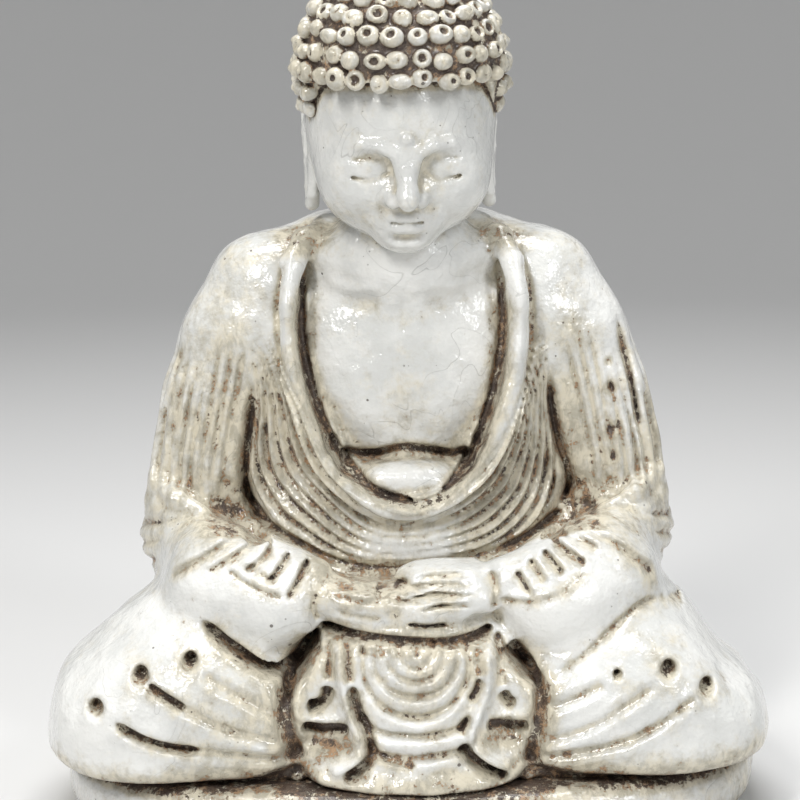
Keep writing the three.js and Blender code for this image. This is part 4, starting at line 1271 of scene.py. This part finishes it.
def sculpt_head():
    """Face, cap of curls and raised crown, made upright and then turned to the figure's pose."""
    g = grid_over(np.array((-30, -31, 120)), np.array((30, 34, 210)), HEAD_STEP)
    face = face_shape(g)
    neck = capsule(g, (0, 6.5, 117), (0, 4, 140), 14.5, 12.5)
    face = soft_union(face, neck, 5)
    for side in (-1, 1):
        face = soft_union(face, ear_shape(g, side), 1.3)
    face = np.maximum(face, NECK_FOOT - g.z + (g.y - 3) * math.tan(PITCH)).astype(np.float32)
    hair = hair_shape(g).astype(np.float32)
    fine, wide = recesses(np.minimum(face, hair), g.step, 0.8, 2.6)
    mound = np.array(MOUND_RADII)
    pieces = (
        ("head", face, GLAZE, "figure_glaze"),
        ("hair_cap", np.maximum(hair, -ellipsoid(g, MOUND_CENTRE, mound + 3.6)), HAIR_GLAZE, "hair_glaze"),
        ("ushnisha", np.maximum(hair, ellipsoid(g, MOUND_CENTRE, mound + 4.0)), HAIR_GLAZE, "hair_glaze"),
    )
    for node, field, material, slot in pieces:
        piece, points = skin(f"{node}_cast", g, field)
        x, y, z = points.T
        if node == "head":
            under = hairline_at(x, y) - z
            front = smooth_step(4, -6, y)
            paint = 0.95 * smooth_step(1.6, 0.2, under) * front
            rust = 0.9 * smooth_step(3.0, 0.2, under) * front + 0.7 * smooth_step(5, 0, z - 124)
            share = 1 - 0.5 * smooth_step(-6, -14, y) * smooth_step(126, 132, z)
        else:
            hollow = np.clip((g.sample(fine, points) - 0.46) * 4.4, 0, 1)
            paint, rust, share = 0.98 * hollow, 0.25 + 0.9 * hollow, 1.0
        keep_figures(piece, points, g, fine, wide, paint, rust, share)
        piece.data.vertices.foreach_set("co", (head_to_frame(points) / MM).astype(np.float32).ravel())
        piece.data.update()
        finish_piece(piece, material, node)


# ---------------------------------------------------------------- felt, dowels and plinth
def felt():
    material, tree, shader = nodes_of("brown_felt")
    g = Graph(tree)
    fibre = g.noise(900, 5, 0.75, distortion=1.5, stretch=(1, 0.35, 1))
    tuft = g.noise(260, 4, 0.7, distortion=2.0, offset=4.0)
    colour = g.blend(g.ramp(fibre, 0.38, 0.62), (0.018, 0.011, 0.008, 1), (0.052, 0.033, 0.024, 1))
    colour = g.blend(g.math("MULTIPLY", g.ramp(tuft, 0.5, 0.7), 0.5), colour, (0.080, 0.056, 0.042, 1))
    g.feed(shader.inputs["Base Color"], colour)
    shader.inputs["Roughness"].default_value = 0.95
    shader.inputs["Sheen Weight"].default_value = 0.4
    g.bump(shader, g.math("ADD", fibre, tuft), 0.8, 0.0006)
    return material


def dowel_wood():
    material, tree, shader = nodes_of("beech_dowel")
    g = Graph(tree)
    grain = g.noise(420, 5, 0.65, distortion=0.6, stretch=(1, 1, 0.06))
    pore = g.noise(1400, 3, 0.6, stretch=(1, 1, 0.10), offset=6.0)
    colour = g.blend(g.ramp(grain, 0.36, 0.64), (0.36, 0.215, 0.110, 1), (0.60, 0.41, 0.235, 1))
    colour = g.blend(g.math("MULTIPLY", g.ramp(pore, 0.58, 0.70), 0.6), colour, (0.20, 0.105, 0.050, 1))
    g.feed(shader.inputs["Base Color"], colour)
    g.feed(shader.inputs["Roughness"], g.math("ADD", 0.52, g.math("MULTIPLY", grain, 0.2)))
    g.bump(shader, grain, 0.4, 0.0003)
    return material


def dress_cad_nodes():
    """Looks for the pieces that are shown as the CAD model has them."""
    wood = dowel_wood()
    looks = {"felt_pad": (felt(), "felt")}
    for node in ("neck_dowel", "seat_dowel_1", "seat_dowel_2"):
        looks[node] = (wood, "dowel_wood")
    for node, (material, slot) in looks.items():
        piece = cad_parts[node]
        piece.data.materials.clear()
        piece.data.materials.append(material)


def sculpt_plinth():
    """The shared plinth: a softened slab with an uneven hand-trimmed rim."""
    low, high = node_mm("base_plinth")
    g = grid_over(low - 3, high + 3, PLINTH_STEP)
    field = blur(cad_distance("base_plinth", g, 6.0), 1.5, g.step)
    field += 0.30 * lumps(g, 13.0) * smooth_step(3, 9, g.z) + 0.12 * lumps(g, 4.0)
    field = np.maximum(field, low[2] - g.z)
    reach = 14.0
    figure = np.full(g.shape, reach, np.float32)
    for node in ("leg_left", "leg_right", "apron", "robe_body"):
        figure = np.minimum(figure, cad_distance(node, g, reach))
    fine, wide = recesses(np.minimum(field, figure), g.step, 1.2, 3.6)
    piece, points = skin("base_plinth_cast", g, field)
    x, y, z = points.T
    foot = smooth_step(9.5, 12.0, z)
    close = g.sample(figure, points) + 4.5 * smooth_step(-30, 20, y)
    near = smooth_step(11, 5, close) * foot
    rust = np.maximum(0.6 * foot + 0.5 * near, 0.5 * smooth_step(4.5, 1, z))
    keep_figures(piece, points, g, fine, wide, 0.95 * near, rust)
    finish_piece(piece, PLINTH_GLAZE, "base_plinth")


make_camera()
make_stage()
sculpt_body()
sculpt_plinth()
sculpt_head()
dress_cad_nodes()
